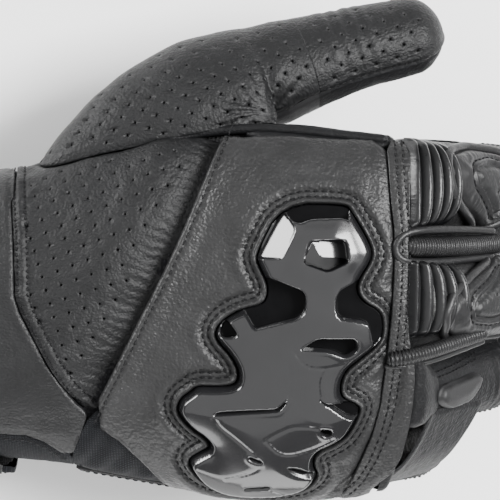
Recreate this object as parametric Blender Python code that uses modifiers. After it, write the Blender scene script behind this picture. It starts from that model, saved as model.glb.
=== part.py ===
"""Right-hand short riding glove: leather shell panels, hard knuckle guard, flexing fingers.

The model is made in the hand's own frame, in millimetres: +X runs to the fingertips, +Y to the
thumb side and +Z out of the back of the hand. One empty, hand_frame, tilts that frame so that
the fingertips and the cuff rest on the floor. Every hinge is an empty under it, with the hinge
axis along the empty's local +Y, so a positive turn bends a finger towards the palm.
"""
import math

import bmesh
import bpy
import numpy as np
from mathutils import Matrix, Vector

# ---------------------------------------------------------------- driving dimensions (mm, degrees)
MM = 0.001
REST_TILT = 15.6                  # knuckles raised above the wrist when the glove rests
REST_SHIFT = (-4.1, -0.6, 62.7)   # puts the centre of the resting box over the origin, floor at zero

LEATHER = 1.6                     # outer shell panels
LINING = 0.8
SEAM_GAP = 0.8                    # between neighbouring panels
LINING_DEPTH = 5.2                # lining's outer face under the shell's outer face
CUFF_END = -92.0
WRIST_SEAM = -60.0
KNUCKLE_LINE = 37.0               # front edge of the back of the hand

# Hand sections: x, centre y, half width, top z, bottom z, slope of z towards the thumb side
HAND_SECTIONS = (
    (-96.0, -16.0, 38.5, 10.0, -38.0, 0.00),
    (-78.0, -16.5, 37.5, 10.0, -36.5, 0.00),
    (-60.0, -17.0, 38.5, 10.5, -34.5, 0.01),
    (-40.0, -15.5, 43.5, 11.0, -34.0, 0.03),
    (-13.0, -15.5, 48.0, 12.0, -31.0, 0.06),
    (10.0, -16.5, 49.5, 12.5, -28.0, 0.09),
    (28.0, -17.0, 48.0, 12.0, -25.0, 0.12),
    (40.0, -16.5, 46.0, 10.5, -19.0, 0.14),
)
HAND_SQUARENESS = 2.4

# Fingers: knuckle point, yaw, pitch, roll, lengths of the three bones, bends at the two joints,
# half widths at knuckle, middle joint, end joint and tip
FINGERS = {
    "index": dict(knuckle=(41.0, 16.9, -3.0), yaw=0, pitch=47, roll=4, bones=(43, 26, 22),
                  bends=(38, 22), widths=(12.0, 11.0, 10.2, 8.6)),
    "middle": dict(knuckle=(44.0, -12.7, -0.5), yaw=4, pitch=46, roll=-2, bones=(46, 28, 23),
                   bends=(36, 20), widths=(10.2, 10.4, 9.8, 8.4)),
    "ring": dict(knuckle=(39.0, -37.4, -5.5), yaw=9, pitch=50, roll=-10, bones=(40, 26, 20),
                 bends=(34, 20), widths=(9.4, 9.2, 8.8, 7.8)),
    "little": dict(knuckle=(28.0, -55.0, -14.5), yaw=9, pitch=53, roll=-14, bones=(30, 20, 18),
                   bends=(30, 20), widths=(8.6, 8.2, 7.8, 7.0)),
}
FINGER_DEPTH = 0.94               # half thickness over half width
FINGER_SQUARENESS = 2.3
BACK_START = 3.0                  # back of a finger starts this far past its knuckle
PALM_START = 11.0
TIP_LEATHER = 1.2
TIP_HOLE = 0.7                    # the two halves of a tip stop this short of its point
CREASE_HALF = 6.6
CREASE_LEATHER = 1.2
CREASE_DEPTH = 0.4                 # soft bellows each side of a middle joint

THUMB_BASE = (6.0, 46.8, -18.2)
THUMB_WAY = (0.935, 0.30, -0.15)
THUMB_BACK = (-0.20, 0.45, 0.87)
THUMB_LENGTHS = (21.0, 27.0)
THUMB_BEND = 7.0
THUMB_WIDTHS = (13.2, 10.8, 9.6)
THUMB_OPENING = (-24.0, 30.0, 2.0, 36.0)   # x centre, half length, angle centre, half angle

GUARD_LIFT = 0.5
GUARD_HEIGHT = 6.0
FOAM_THICKNESS = 2.4
FOAM_DEPTH = 2.1                  # foam's outer face under the shell's outer face
BINDING_WIDTH = 2.6               # folded tape round the cuff, along the hand and through its thickness
PATCH_LEATHER = 1.2               # second layer on the palm
ELASTIC = 1.0

# Guard outline (x, y), down the finger side and back up the wrist side
GUARD_OUTLINE = (
    (8.3, 11.4), (24.7, 11.4), (31.2, 0.8), (31.0, -3.0), (27.4, -9.0), (29.1, -13.5), (34.0, -16.0),
    (34.0, -22.5), (24.4, -30.7), (23.2, -37.6), (28.1, -40.0), (27.6, -43.0), (23.4, -49.0),
    (16.6, -52.0), (17.6, -57.0), (12.0, -62.0), (-4.0, -61.5), (-13.0, -58.0), (-15.6, -54.0),
    (-10.0, -50.6), (-18.6, -42.0), (-18.0, -38.2), (-13.0, -35.0), (-3.0, -34.6), (-3.0, -28.0),
    (-9.0, -21.5), (-6.0, -17.2), (4.0, -13.6), (4.6, -8.0), (1.6, -1.6),
)
WINDOW_MARGIN = 0.5

COLLECTION = "riding_glove"


# ---------------------------------------------------------------- curves and surfaces
def smooth(table, value):
    """Cubic interpolation through rows (x, a, b, ...), with level or averaged slopes."""
    rows = np.array(table, float)
    xs = rows[:, 0]
    slopes = np.gradient(rows[:, 1:], xs, axis=0)
    value = np.clip(np.asarray(value, float), xs[0], xs[-1])
    i = np.clip(np.searchsorted(xs, value, side="right") - 1, 0, len(xs) - 2)
    step = xs[i + 1] - xs[i]
    t = ((value - xs[i]) / step)[..., None]
    step = step[..., None]
    low, high = rows[i, 1:], rows[i + 1, 1:]
    return ((2 * t**3 - 3 * t**2 + 1) * low + (t**3 - 2 * t**2 + t) * step * slopes[i]
            + (3 * t**2 - 2 * t**3) * high + (t**3 - t**2) * step * slopes[i + 1])


def rounded(angle, squareness):
    """Point of a superellipse of half axes 1 at an angle in degrees."""
    turn = np.radians(np.asarray(angle, float))
    c, s = np.cos(turn), np.sin(turn)
    power = 2.0 / squareness
    return np.sign(c) * np.abs(c)**power, np.sign(s) * np.abs(s)**power


def hand(x, angle):
    """Outer surface of hand and cuff. Angle 0 is the thumb side, 90 the back, 270 the palm."""
    x, angle = np.broadcast_arrays(np.asarray(x, float), np.asarray(angle, float))
    middle, half, top, bottom, slope = np.moveaxis(smooth(HAND_SECTIONS, x), -1, 0)
    c, s = rounded(angle, HAND_SQUARENESS)
    y = middle + half * c
    z = (top + bottom) / 2 + (top - bottom) / 2 * s + slope * (y - middle) * (0.6 + 0.4 * s)
    return np.stack([x, y, z], -1)


def back_angle(x, y):
    """Angle at which the back of the hand passes a given y."""
    middle, half = smooth(HAND_SECTIONS, x)[..., 0], smooth(HAND_SECTIONS, x)[..., 1]
    share = np.clip((y - middle) / half, -0.999, 0.999)
    return np.degrees(np.arccos(np.sign(share) * np.abs(share)**(HAND_SQUARENESS / 2)))


class Finger:
    """A tube along a bent centre line that lies in one plane."""

    def __init__(self, start, way, back, bones, bends, widths, depth, bend_zone=7.0):
        self.start = np.array(start, float)
        self.way = np.array(way, float) / np.linalg.norm(way)
        side = np.cross(back, self.way)
        self.side = side / np.linalg.norm(side)
        self.back = np.cross(self.way, self.side)
        self.bones = bones
        self.length = float(sum(bones))
        self.depth = depth
        joints = np.cumsum(bones)
        self.width_table = [(0.0, widths[0])] + [(j, w) for j, w in zip(joints, widths[1:])]
        self.s = np.linspace(-12.0, self.length, 400)
        turn = np.zeros_like(self.s)
        for joint, bend in zip(joints, bends):
            turn += bend * np.clip((self.s - joint) / (2 * bend_zone) + 0.5, 0, 1)
        self.turn = np.radians(turn)
        step = np.gradient(self.s)
        along = np.cumsum(np.cos(self.turn) * step)
        down = np.cumsum(-np.sin(self.turn) * step)
        at_zero = np.argmin(np.abs(self.s))
        self.along = along - along[at_zero]
        self.down = down - down[at_zero]

    def frame(self, s):
        """Centre, direction and back direction at a distance s from the knuckle."""
        turn = np.interp(s, self.s, self.turn)[..., None]
        along = np.interp(s, self.s, self.along)[..., None]
        down = np.interp(s, self.s, self.down)[..., None]
        centre = self.start + along * self.way + down * self.back
        way = np.cos(turn) * self.way - np.sin(turn) * self.back
        back = np.sin(turn) * self.way + np.cos(turn) * self.back
        return centre, way, back

    def __call__(self, s, angle):
        s, angle = np.broadcast_arrays(np.asarray(s, float), np.asarray(angle, float))
        centre, _, back = self.frame(s)
        width = smooth(self.width_table, s)[..., 0]
        tip = 9.0
        past = np.clip((s - (self.length - tip)) / tip, 0, 0.995)
        close = np.sqrt(1 - past**2)
        c, q = rounded(angle, FINGER_SQUARENESS)
        return (centre + (width * close * c)[..., None] * self.side
                + (width * self.depth * close * q)[..., None] * back)


def make_finger(spec):
    yaw, pitch, roll = (math.radians(spec[k]) for k in ("yaw", "pitch", "roll"))
    way = np.array([math.cos(pitch) * math.cos(yaw), math.cos(pitch) * math.sin(yaw), -math.sin(pitch)])
    up = np.array([math.sin(pitch) * math.cos(yaw), math.sin(pitch) * math.sin(yaw), math.cos(pitch)])
    side = np.cross(up, way)
    back = math.cos(roll) * up + math.sin(roll) * side
    return Finger(spec["knuckle"], way, back, spec["bones"], spec["bends"], spec["widths"], FINGER_DEPTH)


fingers = {name: make_finger(spec) for name, spec in FINGERS.items()}
thumb = Finger(THUMB_BASE, THUMB_WAY, THUMB_BACK, THUMB_LENGTHS, (THUMB_BEND,), THUMB_WIDTHS, 0.95)


def thumb_mouth(angle):
    """Edge of the thumb's opening in the side of the hand, at an angle of the thumb's own section."""
    x_mid, x_half, a_mid, a_half = THUMB_OPENING
    c, s = rounded(angle, 5.0)
    return hand(x_mid - x_half * c, a_mid + a_half * s)


def thumb_root(share, angle):
    """Root of the thumb: from its opening in the hand (share 0) to its hinge (share 1)."""
    share, angle = np.broadcast_arrays(np.asarray(share, float), np.asarray(angle, float))
    s = share[..., None]
    mouth = thumb_mouth(angle)
    end = thumb(-4.0, angle)
    bulge = 3.0 * 4 * s * (1 - s)
    outward = end - thumb.frame(np.array(-4.0))[0]
    outward = outward / np.linalg.norm(outward, axis=-1, keepdims=True)
    return mouth * (1 - s) + end * s + bulge * outward


def lifted(surface, s, angle, lift):
    """Points of a surface moved out along its normal."""
    ds, da = 0.02, 0.2
    point = surface(s, angle)
    along = surface(s + ds, angle) - surface(s - ds, angle)
    around = surface(s, angle + da) - surface(s, angle - da)
    normal = np.cross(around, along)
    normal /= np.linalg.norm(normal, axis=-1, keepdims=True) + 1e-12
    return point + lift * normal


# ---------------------------------------------------------------- scene helpers
def clear_scene():
    for ob in list(bpy.data.objects):
        bpy.data.objects.remove(ob, do_unlink=True)


def make_collection(name):
    collection = bpy.data.collections.new(name)
    bpy.context.scene.collection.children.link(collection)
    return collection


def make_material(name, colour, roughness, metallic=0.0):
    material = bpy.data.materials.new(name)
    material.use_nodes = True
    shader = material.node_tree.nodes["Principled BSDF"]
    shader.inputs["Base Color"].default_value = (*colour, 1.0)
    shader.inputs["Roughness"].default_value = roughness
    shader.inputs["Metallic"].default_value = metallic
    material.diffuse_color = (*colour, 1.0)
    return material


clear_scene()
parts = make_collection(COLLECTION)
cutters = make_collection("cutters")

LOOKS = {
    "leather": ((0.055, 0.056, 0.060), 0.50),
    "perforated": ((0.060, 0.061, 0.066), 0.55),
    "textile": ((0.030, 0.033, 0.042), 0.85),
    "plastic": ((0.016, 0.016, 0.018), 0.12),
    "rubber": ((0.035, 0.036, 0.040), 0.55),
    "foam": ((0.080, 0.080, 0.085), 0.90),
    "lining": ((0.020, 0.020, 0.022), 0.95),
    "tape": ((0.018, 0.018, 0.020), 0.90),
}


def make_empty(name, matrix, parent):
    empty = bpy.data.objects.new(name, None)
    empty.empty_display_size = 0.01
    parts.objects.link(empty)
    empty.parent = parent
    empty.matrix_local = matrix
    return empty


def hinge_matrix(point, way, side):
    """Frame in metres at a hinge: local Y along the hinge axis, local X along the bone."""
    way, side = Vector(way), Vector(side)
    up = way.cross(side)
    turn = Matrix((way, side, up)).transposed().to_4x4()
    return Matrix.Translation(Vector(point) * MM) @ turn


tilt = Matrix.Rotation(math.radians(-REST_TILT), 4, "Y")
bodies = {}
bodies["hand"] = make_empty("hand_frame", Matrix.Translation(Vector(REST_SHIFT) * MM) @ tilt, None)
local = {"hand": Matrix.Identity(4)}


def add_hinge(body, parent, finger, s):
    centre, way, _ = finger.frame(np.array(float(s)))
    matrix = hinge_matrix(centre, way, finger.side)
    local[body] = matrix
    bodies[body] = make_empty(body + "_hinge", local[parent].inverted() @ matrix, bodies[parent])


for name, finger in fingers.items():
    add_hinge(name, "hand", finger, 0.0)
    add_hinge(name + "_tip", name, finger, finger.bones[0])
add_hinge("thumb", "hand", thumb, 0.0)
add_hinge("thumb_tip", "thumb", thumb, thumb.bones[0])


def add_mesh(name, points, faces, body, look, collection=parts):
    """A mesh object from points in hand millimetres, parented to its body's empty."""
    inverse = local[body].inverted()
    mesh = bpy.data.meshes.new(name)
    mesh.from_pydata([inverse @ (Vector(p) * MM) for p in points], [], faces)
    mesh.update()
    ob = bpy.data.objects.new(name, mesh)
    collection.objects.link(ob)
    ob.parent = bodies[body]
    if look:
        ob.data.materials.append(make_material(name, *LOOKS[look]))
    return ob


def solidify(ob, thickness, even=True):
    shell = ob.modifiers.new("thickness", "SOLIDIFY")
    shell.thickness = thickness * MM
    shell.offset = -1.0
    shell.use_even_offset = even
    return ob


def grid_faces(rows, columns, closed):
    faces = []
    spans = columns if closed else columns - 1
    for i in range(rows - 1):
        for j in range(spans):
            k = (j + 1) % columns
            faces.append((i * columns + j, i * columns + k, (i + 1) * columns + k, (i + 1) * columns + j))
    return faces


def panel(name, surface, body, look, along, around, cells, thickness=LEATHER, lift=0.0, even=True):
    """A shell panel: along and around are (start, end), each a number or a function.

    The ends of along may be functions of the angle. With an around that is a full turn, the
    panel is a closed band.
    """
    rows, columns = cells[0] + 1, cells[1] + 1
    start, end = around
    closed = abs(end - start) >= 359.9
    if closed:
        columns -= 1
    angles = start + (end - start) * np.arange(columns) / cells[1]
    low = np.array([along[0](a) if callable(along[0]) else along[0] for a in angles])
    high = np.array([along[1](a) if callable(along[1]) else along[1] for a in angles])
    share = np.linspace(0, 1, rows)[:, None]
    s = low[None, :] + (high - low)[None, :] * share
    points = lifted(surface, s, np.broadcast_to(angles, s.shape), lift)
    ob = add_mesh(name, points.reshape(-1, 3), grid_faces(rows, columns, closed), body, look)
    return solidify(ob, thickness, even)


def bar(name, rings, body, look):
    """A closed solid through a row of equal rings, with flat ends."""
    rings = np.array(rings)
    rows, columns = rings.shape[:2]
    faces = grid_faces(rows, columns, True)
    faces.append(tuple(reversed(range(columns))))
    faces.append(tuple((rows - 1) * columns + j for j in range(columns)))
    return add_mesh(name, rings.reshape(-1, 3), faces, body, look)


def prism(name, outline, low, high):
    """A hidden cutter: an outline in the hand's XY plane, extruded along Z."""
    count = len(outline)
    points = [(x, y, z) for z in (low, high) for x, y in outline]
    faces = [tuple(reversed(range(count))), tuple(range(count, 2 * count))]
    faces += [(j, (j + 1) % count, (j + 1) % count + count, j + count) for j in range(count)]
    ob = add_mesh(name, points, faces, "hand", None, cutters)
    mesh = bmesh.new()
    mesh.from_mesh(ob.data)
    bmesh.ops.recalc_face_normals(mesh, faces=mesh.faces)
    mesh.to_mesh(ob.data)
    mesh.free()
    ob.hide_render = True
    ob.display_type = "WIRE"
    return ob


def grown(outline, margin):
    """An outline moved out by a margin (negative: in), with mitred corners."""
    points = np.array(outline, float)
    before, after = np.roll(points, 1, 0), np.roll(points, -1, 0)
    area = 0.5 * np.sum(points[:, 0] * after[:, 1] - after[:, 0] * points[:, 1])
    turn = 1.0 if area > 0 else -1.0

    def normals(a, b):
        edge = (b - a) / np.linalg.norm(b - a, axis=1, keepdims=True)
        return np.stack([edge[:, 1], -edge[:, 0]], 1) * turn

    first, second = normals(before, points), normals(points, after)
    middle = first + second
    middle /= np.linalg.norm(middle, axis=1, keepdims=True)
    reach = margin / np.clip(np.sum(middle * first, axis=1), 0.5, 1)
    return points + middle * reach[:, None]


def boolean(ob, cutter, operation):
    cut = ob.modifiers.new(operation.lower(), "BOOLEAN")
    cut.object = cutter
    cut.operation = operation
    cut.solver = "EXACT"


# ---------------------------------------------------------------- back of the hand and cuff
def steps(table):
    """A function of angle on the back of the hand, from rows (y, x)."""
    ys, xs = np.array(sorted(table)).T

    def at(angle):
        x = -20.0
        for _ in range(3):
            y = hand(x, angle)[1]
            x = float(np.interp(y, ys, xs))
        return x

    return at


diagonal_seam = steps([(28.9, -7.0), (0.0, -19.5), (-43.9, -42.0), (-54.0, -29.0), (-63.0, -20.0)])
wrist_edge = steps([(21.0, -62.0), (1.0, -57.0), (-14.6, -61.6), (-34.0, -49.0), (-55.0, -47.0)])
front_edge = steps([(29.0, KNUCKLE_LINE), (-22.0, KNUCKLE_LINE),
                    (-44.0, 33.5), (-57.0, 28.0), (-66.0, 23.0)])


def dorsal_rear(angle):
    """Rear edge of the back panel: the diagonal seam, or the thumb's opening beside it."""
    thumb_side = 8.0 if angle < THUMB_EDGE else -99.0
    return max(diagonal_seam(angle) + SEAM_GAP, thumb_side)


def after(seam):
    return lambda angle: seam(angle) + SEAM_GAP


def before(seam):
    return lambda angle: seam(angle) - SEAM_GAP


THUMB_EDGE = 42.0                  # upper edge of the thumb's opening, as a hand angle
DORSAL_TOP = 22.0                 # thumb-side edge of the back panel
TEXTILE_TOP = 116.5                # upper edge of the textile triangle
CUFF_SEAM = 4.5                    # thumb-side seam of the cuff
ULNAR_TOP = 172.0                  # outer edge of the back panel
PALM_FROM, PALM_TO = 214.0, 323.0
PANEL_STEP = 3.5                   # angle between the long edges of neighbouring panels

window = prism("window_cutter", grown(GUARD_OUTLINE, WINDOW_MARGIN), -45.0, 40.0)
guard_cut = prism("guard_cutter", GUARD_OUTLINE, -44.0, 41.0)
foam_cut = prism("foam_cutter", grown(GUARD_OUTLINE, -1.0), -43.0, 42.0)

dorsal = panel("dorsal_panel", hand, "hand", "leather",
               (dorsal_rear, front_edge), (DORSAL_TOP, ULNAR_TOP), (7, 24))
boolean(dorsal, window, "DIFFERENCE")

guard = panel("knuckle_guard", hand, "hand", "plastic", (-22.0, 36.0), (34.0, 176.0), (4, 20),
              thickness=GUARD_HEIGHT, lift=GUARD_LIFT + GUARD_HEIGHT)
boolean(guard, guard_cut, "INTERSECT")
foam = panel("guard_foam", hand, "hand", "foam", (-21.0, 35.0), (38.0, 170.0), (3, 16),
             thickness=FOAM_THICKNESS, lift=-FOAM_DEPTH)
boolean(foam, foam_cut, "INTERSECT")

panel("thumb_base_panel", hand, "hand", "perforated", (after(wrist_edge), before(diagonal_seam)),
      (THUMB_EDGE, TEXTILE_TOP - PANEL_STEP), (4, 10))
panel("dorsal_textile", hand, "hand", "textile", (after(wrist_edge), before(diagonal_seam)),
      (TEXTILE_TOP, ULNAR_TOP), (4, 8))
panel("cuff_back", hand, "hand", "leather", (CUFF_END, before(wrist_edge)), (CUFF_SEAM, ULNAR_TOP), (3, 20))
panel("cuff_palm", hand, "hand", "leather", (CUFF_END, WRIST_SEAM),
      (ULNAR_TOP + PANEL_STEP, 360.0 + CUFF_SEAM - PANEL_STEP), (3, 20))
panel("cuff_binding", hand, "hand", "textile", (CUFF_END - SEAM_GAP - BINDING_WIDTH, CUFF_END - SEAM_GAP),
      (0.0, 360.0), (1, 40), thickness=BINDING_WIDTH, lift=0.5)

# ---------------------------------------------------------------- sides and palm of the hand
def palm_front(angle):
    """Front edge of the palm panel: further back towards the little finger."""
    return float(np.interp(angle, (214.0, 240.0, 270.0, 324.0), (14.0, 20.0, 30.0, 27.0)))


panel("ulnar_side_panel", hand, "hand", "leather",
      (-46.0, 16.0), (ULNAR_TOP + PANEL_STEP, PALM_FROM - PANEL_STEP), (5, 5))
panel("palm_panel", hand, "hand", "leather",
      (WRIST_SEAM + SEAM_GAP, palm_front), (PALM_FROM, PALM_TO), (6, 14))
panel("index_side_panel", hand, "hand", "leather",
      (9.0, KNUCKLE_LINE), (PALM_TO + PANEL_STEP - 360.0, DORSAL_TOP - PANEL_STEP), (3, 6))
panel("palm_reinforcement", hand, "hand", "leather",
      (-8.0, lambda angle: palm_front(angle) - 4.0), (232.0, 306.0), (4, 10),
      thickness=PATCH_LEATHER, lift=LEATHER)
panel("wrist_elastic", hand, "hand", "textile", (-56.0, -47.0), (228.0, 312.0), (2, 10),
      thickness=ELASTIC, lift=1.4)
panel("hand_lining", hand, "hand", "lining", (CUFF_END + 2, 30.0), (52.0, 306.0), (4, 20),
      thickness=LINING, lift=-LINING_DEPTH)


def palm_slider():
    """Flat hard slider on the heel of the palm, a rounded plate."""
    length, width, corner, thickness = 34.0, 24.0, 8.0, 2.4
    outline = []
    for quarter in range(4):
        cx = (length / 2 - corner) * (1 if quarter in (0, 3) else -1)
        cy = (width / 2 - corner) * (1 if quarter in (0, 1) else -1)
        for step in range(5):
            turn = math.radians(90 * quarter + 22.5 * step)
            outline.append((cx + corner * math.cos(turn), cy + corner * math.sin(turn)))
    centre = (-27.0, -24.0)
    rise = 0.10                    # the heel of the palm slopes up towards the fingers
    top = -33.4

    def ring(size, depth):
        return [(centre[0] + x * size, centre[1] + y * size, top - depth + rise * x * size)
                for x, y in outline]

    low, middle, high = ring(0.94, thickness), ring(1.0, thickness - 0.8), ring(1.0, 0.0)
    return bar("palm_slider", [low, middle, high], "hand", "plastic")


palm_slider()

# ---------------------------------------------------------------- thumb
panel("thumb_root_textile", thumb_root, "hand", "textile", (0.03, 0.93), (-16.0, 22.0), (3, 4))
panel("thumb_root_back", thumb_root, "hand", "perforated", (0.03, 0.93), (27.0, 177.0), (3, 10))
panel("thumb_root_palm", thumb_root, "hand", "leather", (0.03, 0.93), (182.0, 338.0), (3, 10))


def add_bellows(name, finger, body, centre_s, half, look):
    """Soft band round a joint, sunk a little below the leather on both sides of it."""
    return panel(name, finger, body, look, (centre_s - half, centre_s + half), (0.0, 360.0),
                 (3, 12), thickness=CREASE_LEATHER, lift=-CREASE_DEPTH)


add_bellows("thumb_base_crease", thumb, "hand", 0.0, 3.4, "leather")
thumb_joint = thumb.bones[0]
panel("thumb_back", thumb, "thumb", "perforated", (4.0, thumb_joint - 5.0), (4.0, 176.0), (2, 9))
panel("thumb_palm", thumb, "thumb", "leather", (4.0, thumb_joint - 5.0), (181.0, 359.0), (2, 9))
add_bellows("thumb_crease", thumb, "thumb", thumb_joint, 4.5, "leather")
panel("thumb_tip_back", thumb, "thumb_tip", "perforated", (thumb_joint + 5.0, thumb.length - TIP_HOLE),
      (5.0, 175.0), (5, 9), thickness=TIP_LEATHER, even=False)
panel("thumb_tip_palm", thumb, "thumb_tip", "leather", (thumb_joint + 5.0, thumb.length - TIP_HOLE),
      (181.0, 359.0), (5, 9), thickness=TIP_LEATHER, even=False)


# ---------------------------------------------------------------- fingers
def accordion_rear(y):
    """Point on the back of the hand just in front of the back panel's front edge."""
    x = KNUCKLE_LINE
    for _ in range(3):
        angle = float(back_angle(np.array(x), y))
        x = front_edge(angle) + 0.8
    return hand(x, angle)


def accordion(name, finger):
    """Ribbed stretch panel between the back of the hand and the back of one finger."""
    columns, rows, ribs = 7, 9, 2
    finger_edge = finger(BACK_START - 0.9, np.linspace(152.0, 28.0, columns))
    middle = finger_edge[:, 1].mean()
    spread = (finger_edge[:, 1] - middle) * 0.96
    ys = middle + spread
    hand_edge = np.array([accordion_rear(y) for y in ys])
    points = []
    for i in range(rows):
        t = i / (rows - 1)
        arch = 2.2 * 4 * t * (1 - t)
        rib = 0.7 * math.sin(2 * math.pi * ribs * t)
        row = hand_edge * (1 - t) + finger_edge * t
        row = row + (arch + rib) * np.array([0.5, 0.0, 0.87])
        points.append(row)
    points = np.array(points)[:, ::-1]
    faces = grid_faces(rows, columns, False)
    ob = add_mesh(name + "_accordion", points.reshape(-1, 3), faces, "hand", "leather")
    return solidify(ob, CREASE_LEATHER)


PAD_SPANS = {"index": (7.0, 30.0, 44.0), "middle": (8.0, 32.0, 40.0), "ring": (12.0, 27.0, 40.0)}


def back_pad(name, finger):
    """Leaf-shaped pad standing on the back of a finger, widest a third of the way along."""
    start, end, half_angle = PAD_SPANS[name]
    columns, rows = 9, 9
    share = np.linspace(0.04, 0.96, rows)[:, None]
    width = half_angle * np.sin(math.pi * share**0.75)**0.6
    angles = 90.0 - width * np.linspace(1, -1, columns)[None, :]
    s = np.broadcast_to(start + (end - start) * share, angles.shape)
    points = lifted(finger, s, angles, 1.7)
    look = "rubber" if name == "ring" else "perforated"
    ob = add_mesh(name + "_pad", points.reshape(-1, 3), grid_faces(rows, columns, False), name, look)
    return solidify(ob, 1.3)


for name, finger in fingers.items():
    joint = finger.bones[0]
    first_end = joint - CREASE_HALF - SEAM_GAP
    tip_start = joint + CREASE_HALF + SEAM_GAP
    panel(name + "_back", finger, name, "leather", (BACK_START, first_end), (23.5, 156.5), (2, 8))
    panel(name + "_palm", finger, name, "leather", (PALM_START, first_end), (163.0, 377.0), (2, 10))
    add_bellows(name + "_crease", finger, name, joint, CREASE_HALF, "leather")
    panel(name + "_tip_back", finger, name + "_tip", "leather", (tip_start, finger.length - TIP_HOLE),
          (19.0, 161.0), (6, 8), thickness=TIP_LEATHER, even=False)
    panel(name + "_tip_palm", finger, name + "_tip", "leather", (tip_start, finger.length - TIP_HOLE),
          (171.0, 369.0), (6, 10), thickness=TIP_LEATHER, even=False)
    accordion(name, finger)
    if name in PAD_SPANS:
        back_pad(name, finger)


def gusset(name, first, second):
    """Padded roll in the gap between two fingers, from the knuckle line to the web."""
    rows, columns = 7, 8
    rings = []
    for i in range(rows):
        t = i / (rows - 1)
        s = 19.0 * t - 1.0
        inner = first(s, 180.0)
        outer = second(s, 0.0)
        way = (first.way + second.way) / 2
        up = first.frame(np.array(s))[2] + second.frame(np.array(s))[2]
        up = up / np.linalg.norm(up)
        across = np.cross(up, way)
        across /= np.linalg.norm(across)
        centre = (inner + outer) / 2 + 4.0 * up
        half = 0.30 * min(np.linalg.norm(inner - outer), 8.0)
        size = 0.6 + 0.4 * math.sin(math.pi * min(max(t, 0.06), 0.94))
        ring = []
        for j in range(columns):
            c, q = rounded(360.0 * j / columns, 2.2)
            ring.append(centre + across * half * size * c + up * 3.2 * size * q)
        rings.append(ring)
    return bar(name, rings, "hand", "leather")


order = ["index", "middle", "ring"]
for first, second in zip(order, order[1:]):
    gusset(first + "_" + second + "_gusset", fingers[first], fingers[second])

# ---------------------------------------------------------------- wrist strap
STRAP_X = (-84.0, -62.0)
STRAP_HINGE_ANGLE = 250.0
STRAP_END_ANGLE = 168.0
strap_point = lifted(hand, np.array(sum(STRAP_X) / 2), np.array(STRAP_HINGE_ANGLE), 2.4)
local["strap"] = Matrix.Translation(Vector(strap_point) * MM) @ Matrix.Rotation(math.radians(-90), 4, "Z")
bodies["strap"] = make_empty("strap_hinge", local["strap"], bodies["hand"])

panel("strap_loop_patch", hand, "hand", "tape", (STRAP_X[0] + 1, STRAP_X[1] - 1), (176.0, 222.0), (2, 8),
      thickness=1.0, lift=1.3)
panel("strap_hook_patch", hand, "strap", "tape", (STRAP_X[0] + 2, STRAP_X[1] - 2), (178.0, 218.0), (2, 8),
      thickness=0.8, lift=2.4)
panel("wrist_strap", hand, "strap", "textile", STRAP_X,
      (STRAP_END_ANGLE + 8, STRAP_HINGE_ANGLE - 3), (2, 12), thickness=1.4, lift=4.1)
panel("strap_tab", hand, "strap", "rubber", (STRAP_X[0] + 3, STRAP_X[1] - 3),
      (STRAP_END_ANGLE, STRAP_END_ANGLE + 7.6), (2, 3), thickness=1.6, lift=4.2)

for ob in parts.objects:
    if ob.type == "MESH":
        ob.data.shade_smooth()
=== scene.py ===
"""Looks of the riding glove: sewn leather panels, hard guard, ribbed stretch leather, stitching.

Everything is worked out in the hand's own frame, in millimetres: +X to the fingertips, +Y to the
thumb, +Z out of the back of the hand. world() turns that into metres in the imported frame.
A skin is a function from flat leather coordinates (along, around) to points on the glove, so each
panel is cut flat, as real leather is, and then laid on the hand.
"""
import math

import bpy
import numpy as np
from mathutils import Matrix, Vector
from mathutils.geometry import delaunay_2d_cdt

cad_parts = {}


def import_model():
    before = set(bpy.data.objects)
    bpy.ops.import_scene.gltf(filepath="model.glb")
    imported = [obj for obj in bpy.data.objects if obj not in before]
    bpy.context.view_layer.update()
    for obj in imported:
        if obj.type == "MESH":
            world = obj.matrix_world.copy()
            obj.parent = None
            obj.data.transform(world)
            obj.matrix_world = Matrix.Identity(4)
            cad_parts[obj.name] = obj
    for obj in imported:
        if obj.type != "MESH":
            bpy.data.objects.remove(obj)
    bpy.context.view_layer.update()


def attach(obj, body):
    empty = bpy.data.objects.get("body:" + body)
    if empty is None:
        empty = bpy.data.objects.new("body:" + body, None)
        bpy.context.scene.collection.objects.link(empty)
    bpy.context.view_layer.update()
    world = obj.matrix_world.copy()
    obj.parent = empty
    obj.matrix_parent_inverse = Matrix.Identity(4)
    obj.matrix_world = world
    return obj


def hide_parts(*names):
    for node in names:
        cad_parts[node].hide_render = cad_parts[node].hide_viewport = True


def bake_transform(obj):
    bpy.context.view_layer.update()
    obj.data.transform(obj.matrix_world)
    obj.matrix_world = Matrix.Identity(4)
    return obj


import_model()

# ---------------------------------------------------------------- the hand, as in the CAD model
MM = 0.001
REST_TILT = math.radians(15.6)
REST_SHIFT = np.array([-4.1, -0.6, 62.7])
CUFF_END = -92.0

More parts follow.
